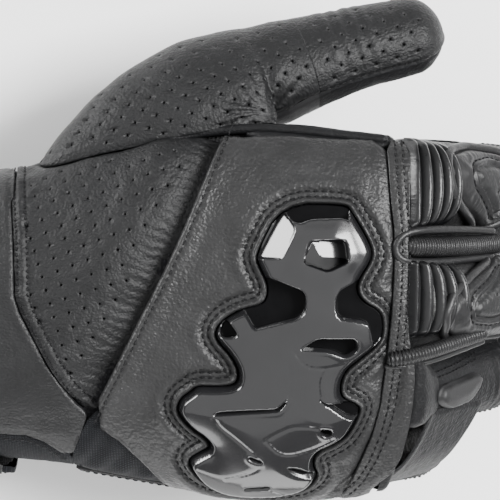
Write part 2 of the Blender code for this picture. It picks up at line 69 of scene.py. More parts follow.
# x, centre y, half width, top z, bottom z, slope of z towards the thumb side
HAND_SECTIONS = (
    (-96.0, -16.0, 38.5, 10.0, -38.0, 0.00),
    (-78.0, -16.5, 37.5, 10.0, -36.5, 0.00),
    (-60.0, -17.0, 38.5, 10.5, -34.5, 0.01),
    (-40.0, -15.5, 43.5, 11.0, -34.0, 0.03),
    (-13.0, -15.5, 48.0, 12.0, -31.0, 0.06),
    (10.0, -16.5, 49.5, 12.5, -28.0, 0.09),
    (28.0, -17.0, 48.0, 12.0, -25.0, 0.12),
    (40.0, -16.5, 46.0, 10.5, -19.0, 0.14),
)
HAND_SQUARENESS = 2.4
FINGERS = {
    "index": dict(knuckle=(41.0, 16.9, -3.0), yaw=0, pitch=47, roll=4, bones=(43, 26, 22),
                  bends=(38, 22), widths=(12.0, 11.0, 10.2, 8.6)),
    "middle": dict(knuckle=(44.0, -12.7, -0.5), yaw=4, pitch=46, roll=-2, bones=(46, 28, 23),
                   bends=(36, 20), widths=(10.2, 10.4, 9.8, 8.4)),
    "ring": dict(knuckle=(39.0, -37.4, -5.5), yaw=9, pitch=50, roll=-10, bones=(40, 26, 20),
                 bends=(34, 20), widths=(9.4, 9.2, 8.8, 7.8)),
    "little": dict(knuckle=(28.0, -55.0, -14.5), yaw=9, pitch=53, roll=-14, bones=(30, 20, 18),
                   bends=(30, 20), widths=(8.6, 8.2, 7.8, 7.0)),
}
FINGER_SQUARENESS = 2.3
FINGER_DEPTH = 0.94
TIP = 9.0                     # length of a finger's rounded end
BEND_ZONE = 7.0               # half the length over which a finger turns at a joint
THUMB_BASE = (6.0, 46.8, -18.2)
THUMB_WAY = (0.935, 0.30, -0.15)
THUMB_BACK = (-0.20, 0.45, 0.87)
THUMB_BONES = (21.0, 27.0)
THUMB_BEND = 7.0
THUMB_WIDTHS = (13.2, 10.8, 9.6)
THUMB_OPENING = (-24.0, 30.0, 2.0, 36.0)      # middle x, half length, middle angle, half angle
ROOT_LENGTH = 32.0            # flat length of the thumb's root, behind its tube
ROOT_FRONT = -4.0             # where the root meets the tube, along the tube


def world(points):
    """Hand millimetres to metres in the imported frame."""
    p = np.asarray(points, float)
    c, s = math.cos(REST_TILT), math.sin(REST_TILT)
    turned = np.stack([p[..., 0] * c - p[..., 2] * s, p[..., 1], p[..., 0] * s + p[..., 2] * c], -1)
    return (turned + REST_SHIFT) * MM


def smooth(table, value):
    """Cubic interpolation through rows (x, a, b, ...)."""
    rows = np.array(table, float)
    xs = rows[:, 0]
    slopes = np.gradient(rows[:, 1:], xs, axis=0)
    value = np.clip(np.asarray(value, float), xs[0], xs[-1])
    i = np.clip(np.searchsorted(xs, value, side="right") - 1, 0, len(xs) - 2)
    step = xs[i + 1] - xs[i]
    t = ((value - xs[i]) / step)[..., None]
    step = step[..., None]
    low, high = rows[i, 1:], rows[i + 1, 1:]
    return ((2 * t**3 - 3 * t**2 + 1) * low + (t**3 - 2 * t**2 + t) * step * slopes[i]
            + (3 * t**2 - 2 * t**3) * high + (t**3 - t**2) * step * slopes[i + 1])


def distances(line):
    """Distance of each point of a line from its start."""
    return np.concatenate([[0], np.cumsum(np.linalg.norm(np.diff(line, axis=0), axis=1))])


def rounded(angle, squareness):
    """Point of a superellipse of half axes 1 at an angle in degrees."""
    turn = np.radians(np.asarray(angle, float))
    c, s = np.cos(turn), np.sin(turn)
    power = 2.0 / squareness
    return np.sign(c) * np.abs(c)**power, np.sign(s) * np.abs(s)**power


def rim(angle, squareness):
    """Point of a superellipse of half axes 1 in the direction of an angle."""
    turn = np.radians(np.asarray(angle, float))
    c, s = np.cos(turn), np.sin(turn)
    size = (np.abs(c)**squareness + np.abs(s)**squareness)**(1 / squareness)
    return c / size, s / size


def hand(x, angle):
    """Outer surface of hand and cuff. Angle 0 is the thumb side, 90 the back, 270 the palm."""
    x, angle = np.broadcast_arrays(np.asarray(x, float), np.asarray(angle, float))
    middle, half, top, bottom, slope = np.moveaxis(smooth(HAND_SECTIONS, x), -1, 0)
    c, s = rounded(angle, HAND_SQUARENESS)
    y = middle + half * c
    z = (top + bottom) / 2 + (top - bottom) / 2 * s + slope * (y - middle) * (0.6 + 0.4 * s)
    return np.stack([x, y, z], -1)


def back_angle(x, y):
    """Angle at which the back of the hand passes a given y."""
    row = smooth(HAND_SECTIONS, x)
    share = np.clip((np.asarray(y, float) - row[..., 0]) / row[..., 1], -0.9995, 0.9995)
    return np.degrees(np.arccos(np.sign(share) * np.abs(share)**(HAND_SQUARENESS / 2)))


class Finger:
    """A tube along a bent centre line that lies in one plane, rounded at its tip."""

    def __init__(self, start, way, back, bones, bends, widths, depth, root_ball):
        self.start = np.array(start, float)
        self.way = np.array(way, float) / np.linalg.norm(way)
        side = np.cross(back, self.way)
        self.side = side / np.linalg.norm(side)
        self.back = np.cross(self.way, self.side)
        self.bones = bones
        self.length = float(sum(bones))
        self.depth = depth
        self.root_ball = root_ball
        joints = np.cumsum(bones)
        self.width_table = [(0.0, widths[0])] + [(j, w) for j, w in zip(joints, widths[1:])]
        self.s = np.linspace(-12.0, self.length, 400)
        turn = np.zeros_like(self.s)
        for joint, bend in zip(joints, bends):
            turn += bend * np.clip((self.s - joint) / (2 * BEND_ZONE) + 0.5, 0, 1)
        self.turn = np.radians(turn)
        step = np.gradient(self.s)
        along = np.cumsum(np.cos(self.turn) * step)
        down = np.cumsum(-np.sin(self.turn) * step)
        at_zero = np.argmin(np.abs(self.s))
        self.along = along - along[at_zero]
        self.down = down - down[at_zero]
        self.tip_arc = 0.5 * math.pi * (TIP + widths[-1]) / 2

    def frame(self, s):
        """Centre, direction and back direction at a distance s from the knuckle."""
        turn = np.interp(s, self.s, self.turn)[..., None]
        along = np.interp(s, self.s, self.along)[..., None]
        down = np.interp(s, self.s, self.down)[..., None]
        centre = self.start + along * self.way + down * self.back
        way = np.cos(turn) * self.way - np.sin(turn) * self.back
        back = np.sin(turn) * self.way + np.cos(turn) * self.back
        return centre, way, back

    @property
    def reach(self):
        """Flat length from the knuckle over the rounded tip."""
        return self.length - TIP + self.tip_arc

    def __call__(self, u, angle):
        u, angle = np.broadcast_arrays(np.asarray(u, float), np.asarray(angle, float))
        over = np.clip((u - (self.length - TIP)) / self.tip_arc, 0, 0.9999) * math.pi / 2
        s = np.where(over > 0, self.length - TIP + TIP * np.sin(over), u)
        centre, _, back = self.frame(s)
        width = smooth(self.width_table, s)[..., 0]
        close = np.cos(over)
        if self.root_ball:
            close = close * np.sqrt(1 - np.clip(-u / self.root_ball, 0, 0.98)**2)
        c, q = rounded(angle, FINGER_SQUARENESS)
        return (centre + (width * close * c)[..., None] * self.side
                + (width * self.depth * close * q)[..., None] * back)


def make_finger(spec):
    yaw, pitch, roll = (math.radians(spec[k]) for k in ("yaw", "pitch", "roll"))
    way = np.array([math.cos(pitch) * math.cos(yaw), math.cos(pitch) * math.sin(yaw), -math.sin(pitch)])
    up = np.array([math.sin(pitch) * math.cos(yaw), math.sin(pitch) * math.sin(yaw), math.cos(pitch)])
    side = np.cross(up, way)
    back = math.cos(roll) * up + math.sin(roll) * side
    return Finger(spec["knuckle"], way, back, spec["bones"], spec["bends"], spec["widths"],
                  FINGER_DEPTH, root_ball=spec["widths"][0])


fingers = {name: make_finger(spec) for name, spec in FINGERS.items()}
thumb_tube = Finger(THUMB_BASE, THUMB_WAY, THUMB_BACK, THUMB_BONES, (THUMB_BEND,), THUMB_WIDTHS,
                    0.95, root_ball=None)


def thumb(u, angle):
    """Thumb with its root: u under ROOT_FRONT runs back to the thumb's opening in the hand."""
    u, angle = np.broadcast_arrays(np.asarray(u, float), np.asarray(angle, float))
    share = np.clip((u - ROOT_FRONT) / ROOT_LENGTH + 1, -0.2, 1)[..., None]
    x_mid, x_half, a_mid, a_half = THUMB_OPENING
    c, s = rim(angle, 5.0)
    mouth_x = x_mid - (x_half + 2.0 * (c > 0)) * c
    upper = np.interp(mouth_x, (-54.0, -44.0, -33.0, -20.0, -8.0, 6.0), (24.0, 26.0, 26.0, 24.0, 18.0, 8.0))
    mouth = hand(mouth_x, a_mid + np.where(s > 0, upper - a_mid, a_half) * s)
    end = thumb_tube(ROOT_FRONT, angle)
    outward = end - thumb_tube.frame(np.array(ROOT_FRONT))[0]
    outward = outward / np.linalg.norm(outward, axis=-1, keepdims=True)
    off_edge = (angle - 35.0 + 180.0) % 360.0 - 180.0
    swell = 12.0 - ridge(angle, 160.0, 45.0, 8.5) + ridge(off_edge, 0.0, 45.0, 22.0)
    root = mouth * (1 - share) + end * share + swell[..., None] * share * (1 - share) * outward
    return np.where(u[..., None] < ROOT_FRONT, root, thumb_tube(np.maximum(u, ROOT_FRONT), angle))


# ---------------------------------------------------------------- flat leather coordinates
class Skin:
    """A surface under flat coordinates (u, w): u along the glove, w round it, in millimetres."""

    def __init__(self, surface, to_angle):
        self.surface = surface
        self.to_angle = to_angle

    def base(self, u, w):
        return self.surface(u, self.to_angle(w))

    def normal(self, u, w):
        step = 0.05
        along = self.base(u + step, w) - self.base(u - step, w)
        around = self.base(u, w + step) - self.base(u, w - step)
        n = np.cross(around, along)
        return n / (np.linalg.norm(n, axis=-1, keepdims=True) + 1e-12)

    def unstretch(self, u, w):
        """The matrix that turns a small step on the skin into flat coordinates."""
        step = 0.2
        steps = ((step, 0.0), (0.0, step))
        along, around = [(self.base(np.array(u + a), np.array(w + b))
                          - self.base(np.array(u - a), np.array(w - b))) / (2 * step) for a, b in steps]
        first = along / np.linalg.norm(along)
        second = around - first * np.dot(around, first)
        second /= np.linalg.norm(second)
        skin_of_flat = [[np.dot(along, first), np.dot(around, first)], [0.0, np.dot(around, second)]]
        return np.linalg.inv(np.array(skin_of_flat))

    def at(self, u, w, height=0.0):
        height = np.broadcast_to(np.asarray(height, float), np.shape(u))
        return self.base(u, w) + self.normal(u, w) * height[..., None]


ring_angles = np.linspace(-90.0, 450.0, 2161)
ring_points = hand(-10.0, ring_angles)
ring_arc = distances(ring_points)
ring_arc -= np.interp(90.0, ring_angles, ring_arc)
hand_skin = Skin(hand, lambda w: np.interp(w, ring_arc, ring_angles))
FINGER_RADIUS = 10.0
finger_skins = {name: Skin(f, lambda w: 90 + np.degrees(w / FINGER_RADIUS)) for name, f in fingers.items()}
THUMB_RADIUS = 12.0
thumb_skin = Skin(thumb, lambda w: 90 + np.degrees(w / THUMB_RADIUS))


def on_back(x, y):
    """Flat coordinates of a point of the back of the hand, seen from straight above it."""
    return x, float(np.interp(float(back_angle(np.array(float(x)), y)), ring_angles, ring_arc))


def on_ring(x, angle):
    return x, float(np.interp(angle, ring_angles, ring_arc))


def noise(u, w, cell, seed, stretch=1.0, turn=0.0):
    """Smooth value noise between -1 and 1, stretched along a direction in degrees."""
    table = np.random.default_rng(seed).uniform(-1, 1, (97, 97))
    c, s = math.cos(math.radians(turn)), math.sin(math.radians(turn))
    a = (u * c + w * s) / (cell * stretch) + 31.7
    b = (w * c - u * s) / cell + 47.3
    i, j = np.floor(a).astype(int), np.floor(b).astype(int)
    f, g = a - i, b - j
    f, g = f * f * (3 - 2 * f), g * g * (3 - 2 * g)
    i, j, i1, j1 = i % 97, j % 97, (i + 1) % 97, (j + 1) % 97
    return ((table[i, j] * (1 - f) + table[i1, j] * f) * (1 - g)
            + (table[i, j1] * (1 - f) + table[i1, j1] * f) * g)


def hide(u, w, seed, turn=0.0):
    """Relief of worn leather: broad dents, and shallow creases across a direction."""
    broad = 0.28 * noise(u, w, 11.0, seed) + 0.14 * noise(u, w, 5.0, seed + 1)
    crease = 0.06 * (1 - 2.2 * np.abs(noise(u, w, 2.1, seed + 2, 3.5, turn)))
    fine = 0.022 * noise(u, w, 1.0, seed + 3, 1.8, turn)
    return broad + crease + fine


def ramp(value, start, end):
    t = np.clip((value - start) / (end - start), 0, 1)
    return t * t * (3 - 2 * t)


def ridge(d, place, width, height=1.0):
    """A soft bump of a distance."""
    return height * np.exp(-((d - place) / width)**2)


def groove(d, place, width, depth):
    return -ridge(d, place, width, depth)


def turned(edge, width, depth):
    """How far a turned edge sinks, given the distance from it."""
    return depth * (1 - ramp(edge, 0.0, width))


def level(height):
    """Relief of a piece that lies at one height above its skin."""
    return lambda u, w: np.full(np.shape(u), height)


def bezier(start, lead, trail, end, t):
    """Cubic curve through two end points."""
    return (1 - t)**3 * start + 3 * t * (1 - t)**2 * lead + 3 * t**2 * (1 - t) * trail + t**3 * end


class Path:
    """An outline or a line in flat coordinates."""

    def __init__(self, points, closed=True, rounds=2):
        p = np.array(points, float)
        for _ in range(rounds):
            q = np.roll(p, -1, 0)
            a, b = 0.75 * p + 0.25 * q, 0.25 * p + 0.75 * q
            cut = np.stack([a, b], 1).reshape(-1, 2)
            p = cut if closed else np.vstack([p[:1], cut[1:-2], p[-1:]])
        self.points = p
        self.closed = closed

    def ends(self):
        p = self.points
        q = np.roll(p, -1, 0)
        return (p, q) if self.closed else (p[:-1], p[1:])

    def distance(self, u, w):
        a, b = self.ends()
        best = np.full(np.shape(u), 1e9)
        for (ax, ay), (bx, by) in zip(a, b):
            ex, ey = bx - ax, by - ay
            t = np.clip(((u - ax) * ex + (w - ay) * ey) / (ex * ex + ey * ey + 1e-12), 0, 1)
            best = np.minimum(best, (u - ax - t * ex)**2 + (w - ay - t * ey)**2)
        return np.sqrt(best)

    def run(self, u, w):
        """How far along the line its nearest point is."""
        a, b = self.ends()
        best = np.full(np.shape(u), 1e9)
        result = np.zeros(np.shape(u))
        start = 0.0
        for (ax, ay), (bx, by) in zip(a, b):
            ex, ey = bx - ax, by - ay
            length = math.hypot(ex, ey)
            t = np.clip(((u - ax) * ex + (w - ay) * ey) / (length**2 + 1e-12), 0, 1)
            d = (u - ax - t * ex)**2 + (w - ay - t * ey)**2
            result = np.where(d < best, start + t * length, result)
            best = np.minimum(best, d)
            start += length
        return result

    def inside(self, u, w):
        odd = np.zeros(np.shape(u), bool)
        for (ax, ay), (bx, by) in zip(*self.ends()):
            if ay == by:
                continue
            crosses = ((ay > w) != (by > w)) & (u < (bx - ax) * (w - ay) / (by - ay) + ax)
            odd ^= crosses
        return odd

    def depth(self, u, w):
        """Distance inside the outline, negative outside."""
        d = self.distance(u, w)
        return np.where(self.inside(u, w), d, -d)

    def walk(self, spacing):
        p = np.vstack([self.points, self.points[:1]]) if self.closed else self.points
        run = distances(p)
        count = max(int(round(run[-1] / spacing)), 2)
        at = np.linspace(0, run[-1], count + 1)[:-1 if self.closed else None]
        return np.stack([np.interp(at, run, p[:, 0]), np.interp(at, run, p[:, 1])], 1)

    def moved(self, margin):
        """The line moved sideways: inwards on an outline, to the left of its run on a line."""
        p = self.points
        before, after = np.roll(p, 1, 0), np.roll(p, -1, 0)
        if not self.closed:
            before[0], after[-1] = p[0], p[-1]
        run = after - before
        run /= np.linalg.norm(run, axis=1, keepdims=True) + 1e-9
        left = np.stack([-run[:, 1], run[:, 0]], 1)
        turn = 1.0
        if self.closed:
            q = np.roll(p, -1, 0)
            turn = 1.0 if np.sum(p[:, 0] * q[:, 1] - q[:, 0] * p[:, 1]) > 0 else -1.0
        moved = p + left * margin * turn
        if self.closed:
            keep = self.distance(moved[:, 0], moved[:, 1]) > abs(margin) * 0.93
            moved = moved[keep]
        return Path(moved, self.closed, rounds=0)


# ---------------------------------------------------------------- mesh builders
glove = bpy.data.collections.new("glove_looks")
bpy.context.scene.collection.children.link(glove)


def make_object(name, points, faces, material, uv=None):
    """A smooth mesh from points in hand millimetres, with flat coordinates as UVs."""
    mesh = bpy.data.meshes.new(name)
    mesh.from_pydata(world(points).tolist(), [], faces)
    if uv is not None:
        layer = mesh.uv_layers.new(name="flat")
        loops = np.zeros(len(mesh.loops), int)
        mesh.loops.foreach_get("vertex_index", loops)
        layer.data.foreach_set("uv", (np.asarray(uv)[loops] * 0.01).ravel())
    mesh.shade_smooth()
    mesh.materials.append(material)
    ob = bpy.data.objects.new(name, mesh)
    glove.objects.link(ob)
    return ob


EDGE_CLEAR = 0.6              # strip inside a panel's edges that its grid of points keeps out of
FEATURE_HALF = 0.12           # how far the rows of points lie at each side of a feature
HOLE_SIDES = 8
HOLE_CLEAR = 0.3              # strip round a hole that the grid keeps out of


def panel_points(outline, spacing, windows, features):
    """A panel's edge loops, the rows of points along its edges and features, and the grid between."""
    loops = [outline.walk(min(spacing, 0.7))] + [window.walk(0.6) for window in windows]
    rows = []
    for inset in (0.25, EDGE_CLEAR):
        rows.append(outline.moved(inset).walk(spacing))
        rows += [window.moved(-inset).walk(0.6) for window in windows]
    low, high = loops[0].min(0), loops[0].max(0)
    across = np.arange(low[0], high[0], spacing)
    up = np.arange(low[1], high[1], spacing * 0.87)
    u, w = np.meshgrid(across, up)
    u = u + (np.arange(len(up)) % 2)[:, None] * spacing / 2
    u, w = u.ravel(), w.ravel()
    keep = outline.depth(u, w) > EDGE_CLEAR + spacing * 0.5
    for window in windows:
        keep &= window.depth(u, w) < -EDGE_CLEAR - spacing * 0.4
    for line in features:
        keep &= line.distance(u, w) > 0.3
        for side in (-FEATURE_HALF, FEATURE_HALF):
            edge = line.moved(side).walk(0.35)
            rows.append(edge[outline.depth(edge[:, 0], edge[:, 1]) > 0.7])
    return loops, rows, np.stack([u[keep], w[keep]], 1)


def loop_edges(start, count):
    return [(start + i, start + (i + 1) % count) for i in range(count)]


def border_of(tris):
    """The sides that only one triangle has, each in that triangle's direction."""
    sides = np.concatenate([tris[:, [0, 1]], tris[:, [1, 2]], tris[:, [2, 0]]])
    _, first, count = np.unique(np.sort(sides, 1), axis=0, return_index=True, return_counts=True)
    return sides[first[count == 1]]


def panel(name, skin, outline, height, material, spacing=0.8, holes=(), hole_radius=0.34, wall=1.1,
          windows=(), features=(), second=None, chart=None):
    """A leather panel cut along an outline, with windows and punched holes, laid on a skin.

    features are lines that the relief turns sharply at. second is (material, function of the
    flat coordinates that is true where that material goes). chart gives a point's texture place
    where the flat coordinates are too stretched for it.
    """
    loops, rows, grid = panel_points(outline, spacing, windows, features)
    holes = np.array(holes, float).reshape(-1, 2)
    shapes = [skin.unstretch(*centre) for centre in holes]

    def hole_gap(points):
        """Distance to the nearest hole's centre, in millimetres of skin."""
        best = np.full(len(points), 99.0)
        for centre, shape in zip(holes, shapes):
            off = (points - centre) @ np.linalg.inv(shape).T
            best = np.minimum(best, np.hypot(off[:, 0], off[:, 1]))
        return best

    grid = grid[hole_gap(grid) > hole_radius + HOLE_CLEAR]
    edges = []
    start = 0
    for loop in loops:
        edges += loop_edges(start, len(loop))
        start += len(loop)
    flat = np.vstack(loops + rows + [grid])
    turn = np.linspace(0, 2 * math.pi, HOLE_SIDES, endpoint=False)
    for centre, shape in zip(holes, shapes):
        edges += loop_edges(len(flat), HOLE_SIDES)
        ring = centre + hole_radius * np.stack([np.cos(turn), np.sin(turn)], 1) @ shape.T
        flat = np.vstack([flat, ring])
    verts, _, tris, *_ = delaunay_2d_cdt([Vector(p) for p in flat], edges, [], 0, 1e-5)
    flat = np.array([tuple(v) for v in verts])
    tris = np.array([t for t in tris if len(t) == 3])
    middle = flat[tris].mean(1)
    keep = outline.inside(middle[:, 0], middle[:, 1])
    for window in windows:
        keep &= ~window.inside(middle[:, 0], middle[:, 1])
    keep &= hole_gap(middle) > hole_radius * 0.85
    a, b, c = (flat[tris[:, k]] for k in range(3))
    area = (b[:, 0] - a[:, 0]) * (c[:, 1] - a[:, 1]) - (b[:, 1] - a[:, 1]) * (c[:, 0] - a[:, 0])
    keep &= np.abs(area) > 1e-7
    tris = np.where((area > 0)[:, None], tris[:, ::-1], tris)[keep]
    rise = height(flat[:, 0], flat[:, 1])
    rise = rise - 0.15 * np.exp(-(np.maximum(hole_gap(flat) - hole_radius, 0) / 0.5)**2)
    points = skin.at(flat[:, 0], flat[:, 1], rise)
    border = border_of(tris)
    rim = np.unique(border)
    below = skin.at(flat[rim, 0], flat[rim, 1], rise[rim] - wall)
    under = {int(v): len(points) + k for k, v in enumerate(rim)}
    faces = [tuple(int(i) for i in t) for t in tris]
    faces += [(int(b), int(a), under[int(a)], under[int(b)]) for a, b in border]
    kept = np.unique(np.concatenate([tris.ravel(), len(flat) + np.arange(len(rim))]))
    renumber = -np.ones(len(flat) + len(rim), int)
    renumber[kept] = np.arange(len(kept))
    faces = [tuple(int(renumber[i]) for i in f) for f in faces]
    both = np.concatenate([np.arange(len(flat)), rim])
    all_points = np.vstack([points, below])[kept]
    uv = chart(all_points) if chart else flat[both[kept]]
    ob = make_object(name, all_points, faces, material, uv)
    if second:
        ob.data.materials.append(second[0])
        middle = flat[tris].mean(1)
        index = np.zeros(len(faces), np.int32)
        index[:len(tris)] = second[1](middle[:, 0], middle[:, 1])
        ob.data.polygons.foreach_set("material_index", index)
    return ob


def sheet(name, place, rows, columns, material, size=None, spot=None, wrap=False):
    """A regular grid surface. place takes shares (0 to 1) along and across, and gives points.

    size is its flat size in millimetres; spot gives the flat place of two shares where that isn't even.
    """
    a = np.linspace(0, 1, rows)
    b = np.linspace(0, 1, columns, endpoint=not wrap)
    share_a, share_b = (g.ravel() for g in np.meshgrid(a, b, indexing="ij"))
    points = place(share_a, share_b)
    flat = np.stack(spot(share_a, share_b) if spot else (share_a * size[0], share_b * size[1]), 1)
    faces = []
    spans = columns if wrap else columns - 1
    for i in range(rows - 1):
        for j in range(spans):
            k = (j + 1) % columns
            faces.append((i * columns + j, i * columns + k, (i + 1) * columns + k, (i + 1) * columns + j))
    return make_object(name, points, faces, material, flat)


def tube(name, line, radius, material, sides=12, relief=None, closed=False):
    """A round tube along points in hand millimetres, with rounded closed ends."""
    line = np.array(line, float)
    count = len(line)
    if closed:
        way = np.roll(line, -1, 0) - np.roll(line, 1, 0)
    else:
        way = np.gradient(line, axis=0)
    way /= np.linalg.norm(way, axis=1, keepdims=True)
    run = distances(line)
    side = np.cross(way, [0.05, 0.1, 1.0])
    side /= np.linalg.norm(side, axis=1, keepdims=True)
    up = np.cross(side, way)
    radius = np.broadcast_to(np.asarray(radius, float), (count,)).copy()
    if not closed:
        edge = np.minimum(run, run[-1] - run)
        r = radius.max()
        radius *= np.sqrt(np.clip(1 - (1 - np.clip(edge / r, 0.02, 1))**2, 0, 1))
    turn = np.linspace(0, 2 * math.pi, sides, endpoint=False)
    grid_run, grid_turn = np.meshgrid(run, turn, indexing="ij")
    r = radius[:, None] + (relief(grid_run, grid_turn) if relief else 0)
    points = (line[:, None] + side[:, None] * (np.cos(grid_turn) * r)[..., None]
              + up[:, None] * (np.sin(grid_turn) * r)[..., None]).reshape(-1, 3)
    faces = []
    for i in range(count if closed else count - 1):
        for j in range(sides):
            k, n = (j + 1) % sides, (i + 1) % count
            faces.append((i * sides + j, n * sides + j, n * sides + k, i * sides + k))
    if not closed:
        faces.append(tuple(range(sides)))
        faces.append(tuple((count - 1) * sides + j for j in reversed(range(sides))))
    flat = np.stack([grid_run.ravel(), grid_turn.ravel() * radius.max()], 1)
    return make_object(name, points, faces, material, flat)


STITCH_PITCH = 2.1
FINE_THREAD = 0.18            # radius of the thread along the fingers' sides


def stitches(name, skin, lines, height, material, pitch=STITCH_PITCH, radius=0.24, lift=0.05):
    """Rows of sewn thread: each stitch is a short arched strand that dives in at both ends."""
    rings, sides = 7, 6
    t = np.linspace(-1, 1, rings)
    turn = np.linspace(0, 2 * math.pi, sides, endpoint=False)
    points, faces, flats = [], [], []
    for line in lines:
        p = line.walk(0.3)
        if line.closed:
            p = np.vstack([p, p[:1]])
        run = distances(p)
        count = int(run[-1] // pitch)
        for k in range(count):
            at = (k + 0.5) * run[-1] / count + t * pitch * 0.40
            u, w = np.interp(at, run, p[:, 0]), np.interp(at, run, p[:, 1])
            arch = lift + radius * (0.9 - 1.9 * t**4)
            centre = skin.at(u, w, height(u, w) + arch)
            n = skin.normal(u, w)
            way = np.gradient(centre, axis=0)
            way /= np.linalg.norm(way, axis=1, keepdims=True) + 1e-12
            side = np.cross(way, n)
            r = radius * np.sqrt(1.02 - t**2 * 0.85)
            ring = (centre[:, None] + side[:, None] * (np.cos(turn)[None] * r[:, None])[..., None]
                    + n[:, None] * (np.sin(turn)[None] * r[:, None])[..., None])
            start = len(points) * rings * sides
            points.append(ring.reshape(-1, 3))
            flats.append(np.stack([np.repeat(at, sides), np.tile(turn, rings)], 1))
            for i in range(rings - 1):
                for j in range(sides):
                    m = (j + 1) % sides
                    faces.append((start + i * sides + j, start + i * sides + m,
                                  start + (i + 1) * sides + m, start + (i + 1) * sides + j))
    return make_object(name, np.vstack(points), faces, material, np.vstack(flats))


# ---------------------------------------------------------------- materials
NOISE_LOW, NOISE_HIGH = 0.3, 0.7


def nodes_of(name, roughness, **uniform):
    """A new material with its node tree and shader; the uniform values go straight on the shader."""
    material = bpy.data.materials.new(name)
    material.use_nodes = True
    tree = material.node_tree
    shader = tree.nodes["Principled BSDF"]
    shader.inputs["Roughness"].default_value = roughness
    for key, value in uniform.items():
        shader.inputs[key.replace("_", " ")].default_value = value
    return material, tree, shader


def add_node(tree, kind, inputs, **settings):
    """A new node. Each input is given a value, or the output of another node that feeds it."""
    node = tree.nodes.new("ShaderNode" + kind)
    for key, value in settings.items():
        setattr(node, key, value)
    for key, value in inputs.items():
        if isinstance(value, bpy.types.NodeSocket):
            tree.links.new(value, node.inputs[key])
        else:
            node.inputs[key].default_value = value
    return node


def flat_coordinates(tree, stretch=(1, 1, 1)):
    """Flat leather coordinates, one unit to the millimetre."""
    source = add_node(tree, "UVMap", {}, uv_map="flat")
    inputs = {0: source.outputs["UV"], 1: [100 * s for s in stretch]}
    return add_node(tree, "VectorMath", inputs, operation="MULTIPLY").outputs[0]


def noise_node(tree, coordinates, size, detail=4.0, rough=0.6):
    inputs = {"Scale": 1 / size, "Detail": detail, "Roughness": rough, "Vector": coordinates}
    return add_node(tree, "TexNoise", inputs).outputs[0]


def spread(tree, value, low, high):
    """The middle of a 0 to 1 value, NOISE_LOW to NOISE_HIGH, mapped to a range."""
    inputs = {"From Min": NOISE_LOW, "From Max": NOISE_HIGH, "To Min": low, "To Max": high, "Value": value}
    return add_node(tree, "MapRange", inputs).outputs[0]


def shades(tree, value, *colours):
    """Colours spread evenly over the same middle."""
    node = add_node(tree, "ValToRGB", {0: value})
    ramp_ends = node.color_ramp.elements
    while len(ramp_ends) < len(colours):
        ramp_ends.new(0.5)
    for i, colour in enumerate(colours):
        ramp_ends[i].position = NOISE_LOW + (NOISE_HIGH - NOISE_LOW) * i / (len(colours) - 1)
        ramp_ends[i].color = (*colour, 1)
    return node.outputs[0]


def bump(tree, height, depth_mm, below=None):
    inputs = {"Strength": 1.0, "Distance": depth_mm * MM, "Height": height}
    if below is not None:
        inputs["Normal"] = below
    return add_node(tree, "Bump", inputs).outputs[0]


def scaled(colour, share):
    return tuple(c * share for c in colour)


def leather_material(name, colour, roughness, grain=0.9, depth=0.10, shine=0.28):
    """Full-grain goat leather: pebbled grain, fine creases, slightly worn and uneven sheen."""
    material, tree, shader = nodes_of(name, roughness, Specular_IOR_Level=shine)
    flat = flat_coordinates(tree)
    cloudy = noise_node(tree, flat, 14.0, 3.0)
    fine = noise_node(tree, flat, 1.3, 6.0, 0.7)
    worn = shades(tree, cloudy, scaled(colour, 0.72), colour, scaled(colour, 1.30))
    tree.links.new(worn, shader.inputs["Base Color"])
    tree.links.new(spread(tree, fine, roughness - 0.07, roughness + 0.10), shader.inputs["Roughness"])
    warp = add_node(tree, "TexNoise", {"Scale": 0.9, "Vector": flat})
    bent = add_node(tree, "VectorMath", {0: flat, 1: warp.outputs["Color"]}, operation="ADD")
    inputs = {"Scale": 1 / grain, "Smoothness": 0.6, "Vector": bent.outputs[0]}
    pebbles = add_node(tree, "TexVoronoi", inputs, feature="SMOOTH_F1")
    grainy = bump(tree, pebbles.outputs["Distance"], -depth)
    crease = noise_node(tree, flat_coordinates(tree, (0.45, 1.3, 1)), 1.7, 5.0, 0.6)
    tree.links.new(bump(tree, crease, depth * 1.1, grainy), shader.inputs["Normal"])
    return material


def weave_material(name, colour, roughness, thread=0.7, depth=0.16):
    """Woven textile: two crossing sets of yarns, with a little fuzz; the colour darkens where the weave sinks
    between yarns, as painted shade.
    """
    material, tree, shader = nodes_of(name, roughness, Sheen_Weight=0.04, Specular_IOR_Level=0.15)
    flat = flat_coordinates(tree)
    waves = []
    for direction in ("X", "Y"):
        inputs = {"Scale": 0.314 / thread, "Distortion": 0.6, "Detail Scale": 3.0, "Vector": flat}
        waves.append(add_node(tree, "TexWave", inputs, bands_direction=direction).outputs["Fac"])
    cross = add_node(tree, "Math", dict(enumerate(waves)), operation="MULTIPLY")
    fuzz = noise_node(tree, flat, 0.6, 4.0, 0.7)
    # Darker where the weave sinks between yarns: painted shade
    yarns_with_gap_shade = shades(tree, cross.outputs[0], scaled(colour, 0.45), colour)
    tree.links.new(yarns_with_gap_shade, shader.inputs["Base Color"])
    tree.links.new(spread(tree, fuzz, roughness - 0.1, min(roughness + 0.1, 1.0)), shader.inputs["Roughness"])
    woven = bump(tree, cross.outputs[0], depth)
    tree.links.new(bump(tree, fuzz, depth * 0.5, woven), shader.inputs["Normal"])
    return material


